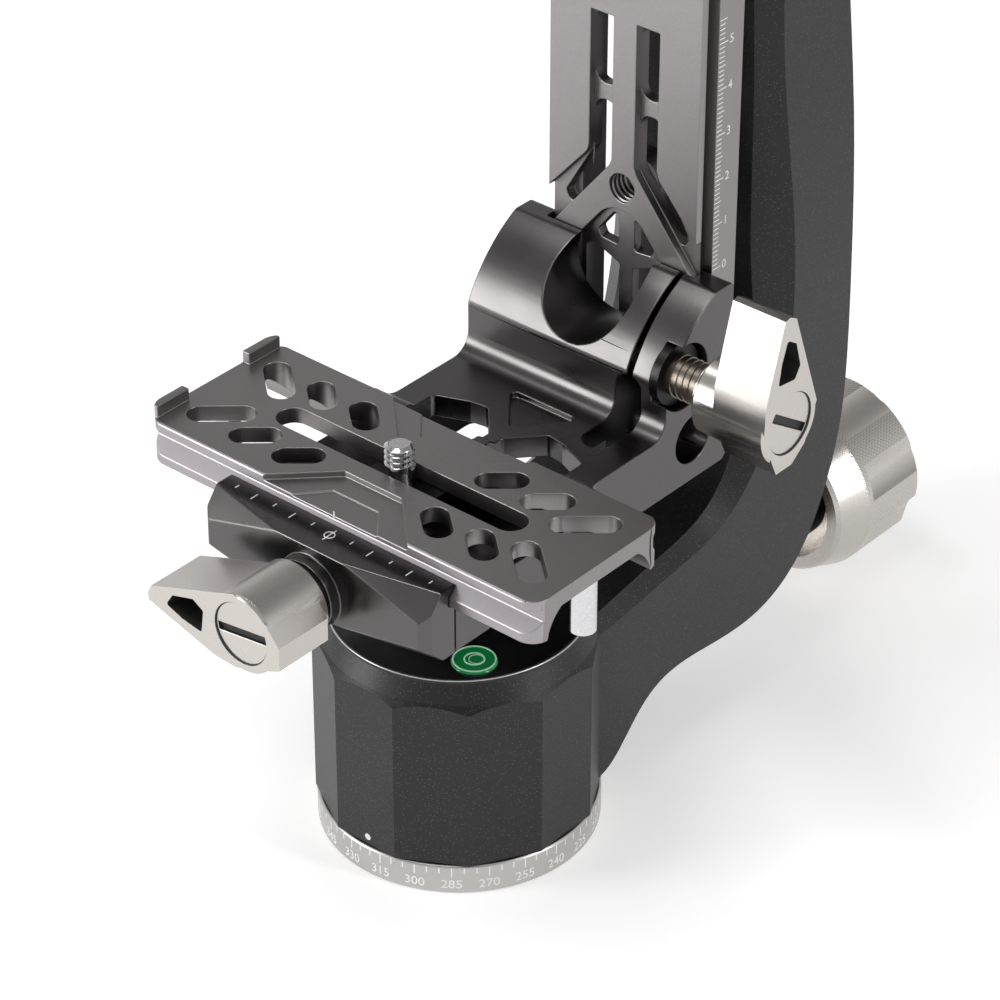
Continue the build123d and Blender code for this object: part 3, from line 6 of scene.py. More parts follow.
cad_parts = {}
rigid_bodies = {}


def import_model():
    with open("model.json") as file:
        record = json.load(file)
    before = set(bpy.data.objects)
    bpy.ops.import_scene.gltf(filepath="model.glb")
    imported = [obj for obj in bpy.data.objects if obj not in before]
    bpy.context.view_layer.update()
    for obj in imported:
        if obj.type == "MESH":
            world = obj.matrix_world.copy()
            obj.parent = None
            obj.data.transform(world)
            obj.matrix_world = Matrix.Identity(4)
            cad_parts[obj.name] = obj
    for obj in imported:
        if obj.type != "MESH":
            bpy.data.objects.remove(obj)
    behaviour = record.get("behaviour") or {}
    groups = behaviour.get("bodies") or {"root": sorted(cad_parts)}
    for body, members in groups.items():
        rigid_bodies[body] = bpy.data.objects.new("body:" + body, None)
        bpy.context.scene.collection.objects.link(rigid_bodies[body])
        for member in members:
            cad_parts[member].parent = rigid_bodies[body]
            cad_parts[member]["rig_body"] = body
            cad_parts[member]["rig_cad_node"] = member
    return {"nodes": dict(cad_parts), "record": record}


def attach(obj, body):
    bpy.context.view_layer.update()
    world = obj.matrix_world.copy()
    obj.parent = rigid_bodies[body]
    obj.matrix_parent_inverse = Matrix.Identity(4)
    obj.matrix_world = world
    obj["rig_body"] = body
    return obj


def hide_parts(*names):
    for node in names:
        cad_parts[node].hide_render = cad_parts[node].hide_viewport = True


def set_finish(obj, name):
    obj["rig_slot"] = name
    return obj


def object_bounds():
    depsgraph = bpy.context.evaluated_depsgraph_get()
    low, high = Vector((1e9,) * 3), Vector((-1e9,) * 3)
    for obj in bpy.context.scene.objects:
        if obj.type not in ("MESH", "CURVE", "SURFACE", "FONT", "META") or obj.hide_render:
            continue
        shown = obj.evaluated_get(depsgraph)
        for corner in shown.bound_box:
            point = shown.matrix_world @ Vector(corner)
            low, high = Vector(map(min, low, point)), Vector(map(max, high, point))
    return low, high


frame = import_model()
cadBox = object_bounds()
mm = 0.001


# small helpers for picking and shaping
def deselectAll():
    for thing in bpy.context.selected_objects:
        thing.select_set(False)


def takeUp(thing):
    deselectAll()
    thing.select_set(True)
    bpy.context.view_layer.objects.active = thing


def justMade(name):
    made = bpy.context.active_object
    made.name = name
    made.data.name = name
    return made


def pickPoints(thing, test):  # leaves edit mode on, with the points that pass the test selected
    takeUp(thing)
    bpy.ops.object.mode_set(mode="EDIT")
    bpy.ops.mesh.select_mode(type="VERT")
    bpy.ops.mesh.select_all(action="DESELECT")
    bpy.ops.object.mode_set(mode="OBJECT")
    for point in thing.data.vertices:
        point.select = test(point.co)
    bpy.ops.object.mode_set(mode="EDIT")


def settle(thing):  # the place of a finished piece goes into its mesh
    takeUp(thing)
    bpy.ops.object.transform_apply(location=True, rotation=True, scale=True)


def applyModifiers(thing):
    takeUp(thing)
    for modifier in list(thing.modifiers):
        bpy.ops.object.modifier_apply(modifier=modifier.name)


def stamp(template, place):  # one more of a small mesh, put down at a place
    again = template.copy()
    again.data = template.data.copy()
    bpy.context.scene.collection.objects.link(again)
    again.data.transform(place)
    return again


def throwAway(things):
    for thing in things:
        bpy.data.objects.remove(thing, do_unlink=True)


def joinAll(pieces, name):
    deselectAll()
    for piece in pieces:
        piece.select_set(True)
    bpy.context.view_layer.objects.active = pieces[0]
    if len(pieces) > 1:
        bpy.ops.object.join()
    return justMade(name)


def finishPiece(thing, material, body, slotName=None, standsFor=()):
    thing.data.materials.clear()
    thing.data.materials.append(material)
    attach(thing, body)
    if standsFor:
        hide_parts(*standsFor)
    if slotName:
        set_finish(thing, slotName)


def facing(right, up, place):  # right, up and outward axes of a mark, and its place in millimetres
    right, up = Vector(right), Vector(up)
    turn = Matrix((right, up, right.cross(up))).transposed().to_4x4()
    return Matrix.Translation(Vector(place) * mm) @ turn


# finishes
def newFinish(name):
    finish = bpy.data.materials.new(name)
    finish.use_nodes = True
    nodes = finish.node_tree.nodes
    links = finish.node_tree.links
    place = nodes.new("ShaderNodeTexCoord").outputs["Object"]
    return finish, nodes, links, nodes["Principled BSDF"], place


def addNoise(nodes, links, place, size, detail=3.0, stretch=(1, 1, 1)):
    mapping = nodes.new("ShaderNodeMapping")
    mapping.inputs["Scale"].default_value = [s / size for s in stretch]
    links.new(place, mapping.inputs["Vector"])
    noise = nodes.new("ShaderNodeTexNoise")
    noise.inputs["Scale"].default_value = 1.0
    noise.inputs["Detail"].default_value = detail
    links.new(mapping.outputs["Vector"], noise.inputs["Vector"])
    return noise.outputs["Fac"]


def addRamp(nodes, links, source, stops):
    ramp = nodes.new("ShaderNodeValToRGB")
    links.new(source, ramp.inputs["Fac"])
    while len(ramp.color_ramp.elements) < len(stops):
        ramp.color_ramp.elements.new(0.5)
    for element, (position, colour) in zip(ramp.color_ramp.elements, stops):
        element.position = position
        element.color = (*colour, 1.0)
    return ramp.outputs["Color"]


def addMath(nodes, links, operation, first, second=None):
    step = nodes.new("ShaderNodeMath")
    step.operation = operation
    for socket, value in zip(step.inputs, (first, second)):
        if isinstance(value, (int, float)):
            socket.default_value = value
        elif value is not None:
            links.new(value, socket)
    return step.outputs["Value"]


def addBump(nodes, links, shader, height, strength, distance):
    relief = nodes.new("ShaderNodeBump")
    relief.inputs["Strength"].default_value = strength
    relief.inputs["Distance"].default_value = distance * mm
    links.new(height, relief.inputs["Height"])
    links.new(relief.outputs["Normal"], shader.inputs["Normal"])


def addSpread(nodes, links, noise, first, second, ends=(0.3, 0.7)):  # from one colour to another over a noise
    return addRamp(nodes, links, noise, list(zip(ends, (first, second))))


def grey(value):
    return (value, value, value)


def shade(colour, share):  # a darker or lighter version of a colour
    return [min(1.0, c * share) for c in colour]


# sizes in millimetres here and below
anodisedLook = {"cloud": 22.0, "cloudEnds": (0.35, 0.65), "smoother": 0.03, "rougher": 0.04, "relief": 0.02}


def anodised(name, colour, roughness, spread=0.10, grain=0.22, bump=0.10, stretch=(1, 1, 1)):
    look = anodisedLook
    finish, nodes, links, shader, place = newFinish(name)
    fine = addNoise(nodes, links, place, grain * mm, 3.0, stretch)
    wide = addNoise(nodes, links, place, look["cloud"] * mm, 2.0)
    tone = addSpread(nodes, links, fine, shade(colour, 1 - spread), shade(colour, 1 + spread))
    links.new(tone, shader.inputs["Base Color"])
    least, most = roughness - look["smoother"], roughness + look["rougher"]
    worn = addSpread(nodes, links, wide, grey(least), grey(most), look["cloudEnds"])
    links.new(worn, shader.inputs["Roughness"])
    shader.inputs["Metallic"].default_value = 1.0
    addBump(nodes, links, shader, fine, bump, look["relief"])
    return finish


champagne = (0.53, 0.50, 0.47)
knurlLook = {"land": 0.12, "grain": 0.2, "shade": 0.85, "peak": 0.9, "roughness": 0.27, "smoother": 0.03,
             "rougher": 0.05, "bump": 0.4, "relief": 0.06}


def knurled(name, knob):  # a fine crossed knurl on the lands of a knob that turns about a line along Y
    look = knurlLook
    finish, nodes, links, shader, place = newFinish(name)
    split = nodes.new("ShaderNodeSeparateXYZ")
    links.new(place, split.inputs["Vector"])
    across, along, high = split.outputs
    high = addMath(nodes, links, "SUBTRACT", high, knob["height"] * mm)
    angle = addMath(nodes, links, "ARCTAN2", high, across)
    around = addMath(nodes, links, "MULTIPLY", angle, knob["teeth"])
    run = addMath(nodes, links, "MULTIPLY", along, knob["teeth"] / (knob["radius"] * mm))
    slants = [addMath(nodes, links, sign, around, run) for sign in ("ADD", "SUBTRACT")]
    diamonds = addMath(nodes, links, "MINIMUM", *[addMath(nodes, links, "SINE", slant) for slant in slants])
    squares = [addMath(nodes, links, "MULTIPLY", side, side) for side in (across, high)]
    reach = addMath(nodes, links, "SQRT", addMath(nodes, links, "ADD", *squares))
    onLand = addMath(nodes, links, "GREATER_THAN", reach, (knob["radius"] - look["land"]) * mm)
    relief = addMath(nodes, links, "MULTIPLY", diamonds, onLand)
    fine = addNoise(nodes, links, place, look["grain"] * mm)
    tone = addSpread(nodes, links, relief, champagne, shade(champagne, look["shade"]), (0.0, look["peak"]))
    links.new(tone, shader.inputs["Base Color"])
    least, most = look["roughness"] - look["smoother"], look["roughness"] + look["rougher"]
    links.new(addSpread(nodes, links, fine, grey(least), grey(most)), shader.inputs["Roughness"])
    shader.inputs["Metallic"].default_value = 1.0
    addBump(nodes, links, shader, relief, look["bump"], look["relief"])
    return finish


powderLook = {"base": (0.010, 0.010, 0.0105), "fleck": (0.16, 0.16, 0.16), "pebble": 0.3, "fleckGap": 0.5,
              "fleckSize": 0.17, "fleckCore": 0.6, "mottle": 0.75, "roughness": 0.42, "sheen": 0.38,
              "bump": 0.8, "relief": 0.05}


def powderCoat(name):  # pebbled black paint with pale flecks
    look = powderLook
    finish, nodes, links, shader, place = newFinish(name)
    pebbles = addNoise(nodes, links, place, look["pebble"] * mm, 2.0)
    mapping = nodes.new("ShaderNodeMapping")
    mapping.inputs["Scale"].default_value = [1 / (look["fleckGap"] * mm)] * 3
    links.new(place, mapping.inputs["Vector"])
    flecks = nodes.new("ShaderNodeTexVoronoi")
    flecks.inputs["Scale"].default_value = 1.0
    links.new(mapping.outputs["Vector"], flecks.inputs["Vector"])
    ends = (look["fleckSize"] * look["fleckCore"], look["fleckSize"])
    sparkle = addSpread(nodes, links, flecks.outputs["Distance"], look["fleck"], look["base"], ends)
    mix = nodes.new("ShaderNodeMix")
    mix.data_type = "RGBA"
    mix.blend_type = "MULTIPLY"
    mix.inputs["Factor"].default_value = 1.0
    links.new(sparkle, mix.inputs["A"])
    links.new(addSpread(nodes, links, pebbles, grey(look["mottle"]), grey(1.0)), mix.inputs["B"])
    links.new(mix.outputs["Result"], shader.inputs["Base Color"])
    shader.inputs["Roughness"].default_value = look["roughness"]
    shader.inputs["Specular IOR Level"].default_value = look["sheen"]
    addBump(nodes, links, shader, pebbles, look["bump"], look["relief"])
    return finish


machinedLook = {"grain": 0.5, "shade": 0.85, "rougher": 0.12, "bump": 0.08, "relief": 0.02}


def machined(name, colour, roughness):
    look = machinedLook
    finish, nodes, links, shader, place = newFinish(name)
    lines = addNoise(nodes, links, place, look["grain"] * mm)
    tone = addSpread(nodes, links, lines, shade(colour, look["shade"]), colour)
    links.new(tone, shader.inputs["Base Color"])
    rough = addSpread(nodes, links, lines, grey(roughness), grey(roughness + look["rougher"]))
    links.new(rough, shader.inputs["Roughness"])
    shader.inputs["Metallic"].default_value = 1.0
    addBump(nodes, links, shader, lines, look["bump"], look["relief"])
    return finish


plasticLook = {"wisp": 1.4, "shade": 0.9, "rougher": 0.04, "bump": 0.02, "relief": 0.02}


def plastic(name, colour, roughness):
    look = plasticLook
    finish, nodes, links, shader, place = newFinish(name)
    wisps = addNoise(nodes, links, place, look["wisp"] * mm)
    tone = addSpread(nodes, links, wisps, shade(colour, look["shade"]), colour)
    links.new(tone, shader.inputs["Base Color"])
    rough = addSpread(nodes, links, wisps, grey(roughness), grey(roughness + look["rougher"]))
    links.new(rough, shader.inputs["Roughness"])
    addBump(nodes, links, shader, wisps, look["bump"], look["relief"])
    return finish


# colour and roughness of each slot in the frame
finishes = {
    "powder_black": powderCoat("powderCoatBlack"),
    "gloss_black": plastic("glossBlack", (0.004, 0.004, 0.0045), 0.16),
    "ring_aluminium": anodised("ringAluminium", (0.50, 0.49, 0.475), 0.33, spread=0.16, grain=0.3,
                               bump=0.16, stretch=(1, 1, 8)),
    "champagne_aluminium": anodised("champagneAluminium", champagne, 0.27, spread=0.04),
    "titanium_anodised": anodised("titaniumAnodised", (0.255, 0.240, 0.242), 0.38, spread=0.07),
    "gunmetal_anodised": anodised("gunmetalAnodised", (0.110, 0.105, 0.105), 0.27, spread=0.05, grain=0.25,
                                  bump=0.05),
    "dark_anodised": anodised("darkAnodised", (0.03, 0.03, 0.031), 0.35, spread=0.08),
    "machined_steel": machined("machinedSteel", (0.50, 0.50, 0.49), 0.25),
    "black_steel": machined("blackSteel", (0.03, 0.03, 0.03), 0.3),
    "chrome": machined("chromePlate", (0.66, 0.66, 0.67), 0.08),
    "brass": machined("turnedBrass", (0.72, 0.55, 0.28), 0.25),
    "bronze": machined("sinteredBronze", (0.5, 0.33, 0.18), 0.4),
    "nylon": plastic("nylonWhite", (0.6, 0.6, 0.56), 0.5),
    "bubble_green": plastic("bubbleGreen", (0.004, 0.30, 0.075), 0.06),
}
whiteInk = plastic("whiteInk", (0.80, 0.80, 0.79), 0.5)
ringInk = plastic("ringInk", (0.93, 0.93, 0.92), 0.45)
vialWhite = plastic("vialRings", (0.55, 0.95, 0.65), 0.2)
brightRim = anodised("brightRim", (0.62, 0.62, 0.61), 0.3)
# partly a brushed side finish, partly a painted highlight: a paler titanium for the plate's long sides
plateEdgeBrushedAndLit = anodised("titaniumEdgeBrushedAndLit", (0.34, 0.315, 0.33), 0.4, spread=0.05)
# painted shade: a near-black finish laid on faces down in recesses, where shade falls
paintedRecessShade = plastic("paintedRecessShade", (0.018, 0.017, 0.016), 0.6)
studSteel = machined("studSteel", (0.20, 0.17, 0.14), 0.3)
print("finishes ready")

slotOf = {row["node"]: row["material_slot"] for row in frame["record"]["subparts"]}
bodyOf = {node: body for body, nodes in frame["record"]["behaviour"]["bodies"].items() for node in nodes}
for name, node in frame["nodes"].items():
    node.data.materials.clear()
    node.data.materials.append(finishes[slotOf[name]])
    node["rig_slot"] = slotOf[name]


# machined edges: a copy of a CAD node with its sharp edges eased
easeLook = {"merge": 0.002, "flat": 0.4, "segments": 2, "sharp": 28, "smooth": 35}  # millimetres and degrees


def cadCopy(name):
    source = frame["nodes"][name]
    piece = source.copy()
    piece.data = source.data.copy()
    piece.parent = None
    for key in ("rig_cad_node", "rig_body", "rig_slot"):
        if key in piece:
            del piece[key]
    bpy.context.scene.collection.objects.link(piece)
    piece.name = name + ".finished"
    takeUp(piece)
    bpy.ops.object.mode_set(mode="EDIT")
    bpy.ops.mesh.select_all(action="SELECT")
    bpy.ops.mesh.remove_doubles(threshold=easeLook["merge"] * mm)
    bpy.ops.mesh.dissolve_limited(angle_limit=math.radians(easeLook["flat"]))
    bpy.ops.object.mode_set(mode="OBJECT")
    return piece


def easeEdges(piece, width, clamped):
    bevel = piece.modifiers.new("easedEdges", "BEVEL")
    bevel.width = width * mm
    bevel.segments = easeLook["segments"]
    bevel.limit_method = "ANGLE"
    bevel.angle_limit = math.radians(easeLook["sharp"])
    bevel.use_clamp_overlap = clamped
    bevel.miter_outer = "MITER_ARC"
    applyModifiers(piece)
    bpy.ops.object.shade_smooth_by_angle(angle=math.radians(easeLook["smooth"]))
    piece.modifiers.new("evenShading", "WEIGHTED_NORMAL").keep_sharp = True
    applyModifiers(piece)


edgeWidths = {  # width in millimetres, and whether a crowded corner may hold it back
    "lens_plate": (0.2, False), "clamp_jaw": (0.35, False),
    "swing_rail": (0.2, False), "lock_lever": (0.28, True), "clamp_lever": (0.28, True),
    "lock_lever_cap": (0.12, False), "clamp_lever_cap": (0.12, False), "scale_ring": (0.12, False),
    "rail_end_stop": (0.2, False), "rail_front_cap": (0.15, False), "tilt_cover": (0.25, False),
}
eased = {}
for name, (width, clamped) in edgeWidths.items():
    eased[name] = cadCopy(name)
    easeEdges(eased[name], width, clamped)
    finishPiece(eased[name], finishes[slotOf[name]], bodyOf[name], slotOf[name], [name])


def paintFaces(thing, material, test):  # a second material on the faces that pass the test; here it lays painted shade and a painted highlight
    thing.data.materials.append(material)
    for face in thing.data.polygons:
        if test(face.center / mm, face.normal):
            face.material_index = len(thing.data.materials) - 1


bracketLook = {"joint": 4.2, "near": 0.05, "square": 0.99, "merge": 0.03, "edge": 0.3}


def makeBracket(settings):  # the two halves of the platform become one skin, with no seam between them
    whole = joinAll([cadCopy("platform_bracket"), cadCopy("clamp_base")], "platformBracket.finished")
    takeUp(whole)
    bpy.ops.object.mode_set(mode="EDIT")
    bpy.ops.mesh.select_mode(type="FACE")
    bpy.ops.mesh.select_all(action="DESELECT")
    bpy.ops.object.mode_set(mode="OBJECT")
    for face in whole.data.polygons:
        inJoint = abs(face.center.y / mm - settings["joint"]) < settings["near"]
        face.select = inJoint and abs(face.normal.y) > settings["square"]
    bpy.ops.object.mode_set(mode="EDIT")
    bpy.ops.mesh.delete(type="FACE")
    bpy.ops.mesh.select_all(action="SELECT")
    bpy.ops.mesh.remove_doubles(threshold=settings["merge"] * mm)
    bpy.ops.mesh.dissolve_limited(angle_limit=math.radians(easeLook["flat"]))
    bpy.ops.object.mode_set(mode="OBJECT")
    easeEdges(whole, settings["edge"], False)
    finishPiece(whole, finishes["gunmetal_anodised"], "platform", "gunmetal_anodised",
                ["platform_bracket", "clamp_base"])


plateLook = {"front": -35.6, "rear": 2.0, "depth": 3.2, "lean": 0.35}


def paintPlateEdges(settings):  # the long sides of the plate get a paler grey than its top: partly their brushed finish, partly a painted highlight of the light that falls on them
    front = settings["front"] + settings["depth"]
    rear = settings["rear"] - settings["depth"]
    paintFaces(eased["lens_plate"], plateEdgeBrushedAndLit,
               lambda at, out: abs(out.y) > settings["lean"] and (at.y < front or at.y > rear))


# how far along its axis a cap's slot lies
slotLook = {
    "lock_lever_cap": {"axis": 0, "low": 50.75, "high": 51.5},
    "clamp_lever_cap": {"axis": 1, "low": -61.5, "high": -60.75},
}


# painted shade: the faces down in a cap's slot get the near-black shade finish
def paintCapSlot(name, slot):
    paintFaces(eased[name], paintedRecessShade, lambda at, out: slot["low"] < at[slot["axis"]] < slot["high"])


# the centre of a lever's end face, the way to its tip, and the way it faces
leverLook = {
    "lock_lever": {"end": (52.0, 38.6, 96.7), "tip": (0, 0, 1), "across": (0, -1, 0), "out": (1, 0, 0)},
    "clamp_lever": {"end": (0.0, -62.0, 76.9), "tip": (-1, 0, 0), "across": (0, 0, -1), "out": (0, -1, 0)},
}
wingLook = {"along": (9.6, 19.7), "across": (-2.5, 4.5), "depth": 0.3}
grooveLook = {"radius": 6.62, "wire": 0.17, "sunk": 0.36, "around": 64, "section": 8}


def paintWing(name, lever):  # painted shade: the faces deep in the wing's window get the near-black shade finish
    low, high = wingLook["along"]
    left, right = wingLook["across"]

    def inWindow(at, out):
        place = at - Vector(lever["end"])
        along, across = place.dot(Vector(lever["tip"])), place.dot(Vector(lever["across"]))
        depth = -place.dot(Vector(lever["out"]))
        return low < along < high and left < across < right and depth > wingLook["depth"]

    paintFaces(eased[name], paintedRecessShade, inWindow)


def ringCap(name, lever):  # painted shade: a thin near-black ring sunk into the cap's end, where the cut round the cap lies in shade
    out = Vector(lever["out"])
    spot = Vector(lever["end"]) - out * grooveLook["sunk"]
    bpy.ops.mesh.primitive_torus_add(major_radius=grooveLook["radius"] * mm,
                                     minor_radius=grooveLook["wire"] * mm,
                                     major_segments=grooveLook["around"],
                                     minor_segments=grooveLook["section"], location=spot * mm,
                                     rotation=out.to_track_quat("Z", "Y").to_euler())
    grooveShade = justMade(name + ".groove")
    settle(grooveShade)
    bpy.ops.object.shade_smooth()
    finishPiece(grooveShade, paintedRecessShade, bodyOf[name])


makeBracket(bracketLook)
paintPlateEdges(plateLook)
for name, slot in slotLook.items():
    paintCapSlot(name, slot)
for name, lever in leverLook.items():
    paintWing(name, lever)
    ringCap(name, lever)
print("machined edges eased")

knobKnurls = {
    "pan_knob_grip": {"height": 21.6, "radius": 19.5, "teeth": 112},
    "tilt_knob_grip": {"height": 190.0, "radius": 22.0, "teeth": 126},
}
for name, knob in knobKnurls.items():
    frame["nodes"][name].data.materials.clear()
    frame["nodes"][name].data.materials.append(knurled(name + ".knurl", knob))
print("knobs knurled")

# threads: a ridge wound round a core
ridgeLook = {"steps": 28, "runOut": 1.5, "smooth": 30}  # steps in a turn, depths left free, and degrees


def windRidge(name, radius, depth, pitch, length, inward=False):
    bpy.ops.mesh.primitive_circle_add(vertices=3, radius=depth * mm, fill_type="NGON")
    ridge = justMade(name)
    bpy.ops.object.mode_set(mode="EDIT")
    bpy.ops.mesh.select_all(action="SELECT")
    bpy.ops.transform.rotate(value=math.radians(-90 if inward else 90), orient_axis="Z")
    bpy.ops.transform.rotate(value=math.radians(90), orient_axis="X")
    start = radius + depth if inward else radius - depth
    bpy.ops.transform.translate(value=(start * mm, 0, 0))
    bpy.ops.object.mode_set(mode="OBJECT")
    wind = ridge.modifiers.new("wind", "SCREW")
    wind.steps = ridgeLook["steps"]
    wind.render_steps = ridgeLook["steps"]
    wind.screw_offset = pitch * mm
    wind.iterations = max(1, round((length - ridgeLook["runOut"] * depth) / pitch))
    wind.use_merge_vertices = False
    applyModifiers(ridge)
    bpy.ops.object.mode_set(mode="EDIT")
    bpy.ops.mesh.select_all(action="DESELECT")
    bpy.ops.mesh.select_mode(type="VERT")
    bpy.ops.mesh.select_non_manifold()
    bpy.ops.mesh.fill_holes(sides=3)
    bpy.ops.mesh.select_all(action="SELECT")
    bpy.ops.mesh.normals_make_consistent(inside=False)
    bpy.ops.object.mode_set(mode="OBJECT")
    bpy.ops.object.shade_smooth_by_angle(angle=math.radians(ridgeLook["smooth"]))
    return ridge


cameraThread = {"centre": (0, -16.8), "start": 91.8, "end": 97.3, "radius": 3.175, "depth": 0.5,
                "pitch": 1.27, "coreDepths": 1.2, "slack": 0.05, "rim": 0.9, "edge": 0.12}


def makeCameraScrew(settings):  # the plain shank shrinks to a core, and the ridge brings back its size
    screw = cadCopy("camera_screw")
    x, y = settings["centre"]
    foot = settings["start"] - settings["slack"]
    rim = settings["radius"] - settings["rim"]
    pickPoints(screw, lambda p: p.z > foot * mm and math.hypot(p.x - x * mm, p.y - y * mm) > rim * mm)
    core = 1 - settings["depth"] * settings["coreDepths"] / settings["radius"]
    bpy.ops.transform.resize(value=(core, core, 1), center_override=(x * mm, y * mm, settings["start"] * mm))
    bpy.ops.object.mode_set(mode="OBJECT")
    easeEdges(screw, settings["edge"], True)
    length = settings["end"] - settings["start"]
    ridge = windRidge("cameraThread", settings["radius"], settings["depth"], settings["pitch"], length)
    ridge.data.transform(Matrix.Translation(Vector((x, y, settings["start"] + settings["depth"])) * mm))
    whole = joinAll([screw, ridge], "cameraScrew.finished")
    finishPiece(whole, finishes["chrome"], "lens_screw", "chrome", ["camera_screw"])


lockThread = {"axis": (38.6, 96.7), "start": 24.4, "end": 33.6, "radius": 4.65, "depth": 0.45, "pitch": 1.5}


def makeLockThread(settings):
    length = settings["end"] - settings["start"]
    ridge = windRidge("lockStud.thread", settings["radius"], settings["depth"], settings["pitch"], length)
    ridge.data.transform(Matrix.Rotation(math.radians(90), 4, "Y"))
    ridge.data.transform(Matrix.Translation(Vector((settings["start"], *settings["axis"])) * mm))
    finishPiece(ridge, studSteel, "platform_lever", "machined_steel")
    frame["nodes"]["lock_stud"].data.materials.clear()
    frame["nodes"]["lock_stud"].data.materials.append(studSteel)


railThread = {"height": 125.0, "start": 50.4, "radius": 3.175, "depth": 0.42, "pitch": 1.27, "length": 7.5}


def makeRailThread(settings):
    ridge = windRidge("railHole.thread", settings["radius"] - settings["depth"], settings["depth"],
                      settings["pitch"], settings["length"], True)
    ridge.data.transform(Matrix.Rotation(math.radians(-90), 4, "X"))
    ridge.data.transform(Matrix.Translation(Vector((0, settings["start"], settings["height"])) * mm))
    finishPiece(ridge, finishes["titanium_anodised"], "swing", "titanium_anodised")


makeCameraScrew(cameraThread)
makeLockThread(lockThread)
makeRailThread(railThread)
print("threads wound")


# printed and engraved marks
inkLook = {"barThick": 0.06, "digitRise": 0.03, "digitShare": 0.71}  # a digit fills that share of its size


def makeBar(name):  # a unit bar: one wide, one tall from its foot up, one thick, centred on its face
    bpy.ops.mesh.primitive_cube_add(size=1.0, location=(0, 0.5, 0))
    bar = justMade(name)
    settle(bar)
    return bar


def makeDigits(height):
    digits = {}
    for sign in "0123456789":
        bpy.ops.object.text_add()
        text = bpy.context.active_object
        text.data.body = sign
        text.data.size = height * mm / inkLook["digitShare"]
        text.data.extrude = inkLook["digitRise"] * mm
        text.data.align_x = "CENTER"
        text.data.align_y = "CENTER"
        bpy.ops.object.convert(target="MESH")
        digits[sign] = justMade("digit" + sign)
    return digits


def barPlace(ground, width, height):
    return ground @ Matrix.Diagonal((width * mm, height * mm, inkLook["barThick"] * mm, 1))


def layRing(name, radius, wire, centre, around=48):  # a thin ring that lies flat
    bpy.ops.mesh.primitive_torus_add(major_radius=radius * mm, minor_radius=wire * mm, major_segments=around,
                                     location=Vector(centre) * mm)
    ring = justMade(name)
    settle(ring)
    return ring


ringLook = {"radius": 29.4, "top": 6.45, "long": 2.2, "short": 1.4, "width": 0.26, "step": 5, "numbered": 15,
            "zeroAt": 233.0, "textHeight": 2.1, "textZ": 2.35, "digitGap": 2.9}


def markRing(settings):
    bar, digits = makeBar("ringBar"), makeDigits(settings["textHeight"])
    made = []

    def onRing(azimuth, z):
        turn = math.radians(azimuth)
        out = Vector((math.cos(turn), math.sin(turn), 0))
        return facing((-out.y, out.x, 0), (0, 0, 1), (*(out.xy * settings["radius"]), z))

    for number in range(0, 360, settings["step"]):
        azimuth = settings["zeroAt"] - number
        numbered = number % settings["numbered"] == 0
        tall = settings["long"] if numbered else settings["short"]
        made.append(stamp(bar, barPlace(onRing(azimuth, settings["top"] - tall), settings["width"], tall)))
        if numbered:
            signs = str(number)
            for k, sign in enumerate(signs):
                shift = (k - (len(signs) - 1) / 2) * settings["digitGap"]
                made.append(stamp(digits[sign], onRing(azimuth + shift, settings["textZ"])))
    marks = joinAll(made, "scaleRing.marks")
    finishPiece(marks, ringInk, "base")
    throwAway([bar, *digits.values()])


railLook = {"side": 20.0, "edge": 54.15, "zero": 111.9, "last": 55, "half": 5, "numbered": 10,
            "textHeight": 1.9, "textY": 57.9, "lengths": (1.6, 2.1, 2.6), "width": 0.22}


def markRail(settings):
    bar, digits = makeBar("railBar"), makeDigits(settings["textHeight"])
    made = []
    for millimetre in range(settings["last"] + 1):
        numbered = millimetre % settings["numbered"] == 0
        reach = settings["lengths"][(millimetre % settings["half"] == 0) + numbered]
        z = settings["zero"] + millimetre
        place = facing((0, 0, -1), (0, 1, 0), (settings["side"], settings["edge"], z))
        made.append(stamp(bar, barPlace(place, settings["width"], reach)))
        if numbered:
            place = facing((0, 1, 0), (0, 0, 1), (settings["side"], settings["textY"], z))
            made.append(stamp(digits[str(millimetre // settings["numbered"])], place))
    marks = joinAll(made, "swingRail.marks")
    finishPiece(marks, whiteInk, "swing")
    throwAway([bar, *digits.values()])


jawLook = {"top": 86.5, "edge": -35.7, "short": 1.1, "long": 2.0, "width": 0.24, "last": 25, "step": 5,
           "longStep": 10, "centre": (0.0, -37.0), "circle": 1.05, "circleWire": 0.12, "stroke": 4.0}


def markJaw(settings):
    bar = makeBar("jawBar")
    made = []
    for x in range(-settings["last"], settings["last"] + 1, settings["step"]):
        if x:
            reach = settings["long"] if x % settings["longStep"] == 0 else settings["short"]
            place = facing((-1, 0, 0), (0, -1, 0), (x, settings["edge"], settings["top"]))
            made.append(stamp(bar, barPlace(place, settings["width"], reach)))
    x, y = settings["centre"]
    place = facing((-1, 0, 0), (0, -1, 0), (x, y + settings["stroke"] / 2, settings["top"]))
    made.append(stamp(bar, barPlace(place, settings["width"], settings["stroke"])))
    made.append(layRing("jawCircle", settings["circle"], settings["circleWire"], (x, y, settings["top"])))
    marks = joinAll(made, "clampJaw.marks")
    finishPiece(marks, whiteInk, "jaw")
    throwAway([bar])


tickLook = {"spot": (0, -35.6, 89.75), "width": 0.3, "height": 1.5}


def markPlate(settings):
    bar = makeBar("plateBar")
    place = facing((1, 0, 0), (0, 0, 1), settings["spot"])
    line = stamp(bar, barPlace(place, settings["width"], settings["height"]))
    tick = joinAll([line], "lensPlate.centreTick")
    finishPiece(tick, whiteInk, "plate")
    throwAway([bar])


cupLook = {"dotRadius": 0.75, "dotThick": 0.08, "dot": (0.5, -28.7, 8.9), "rimRadius": 26.35,
           "rimHeight": 50.86, "rimWire": 0.16}


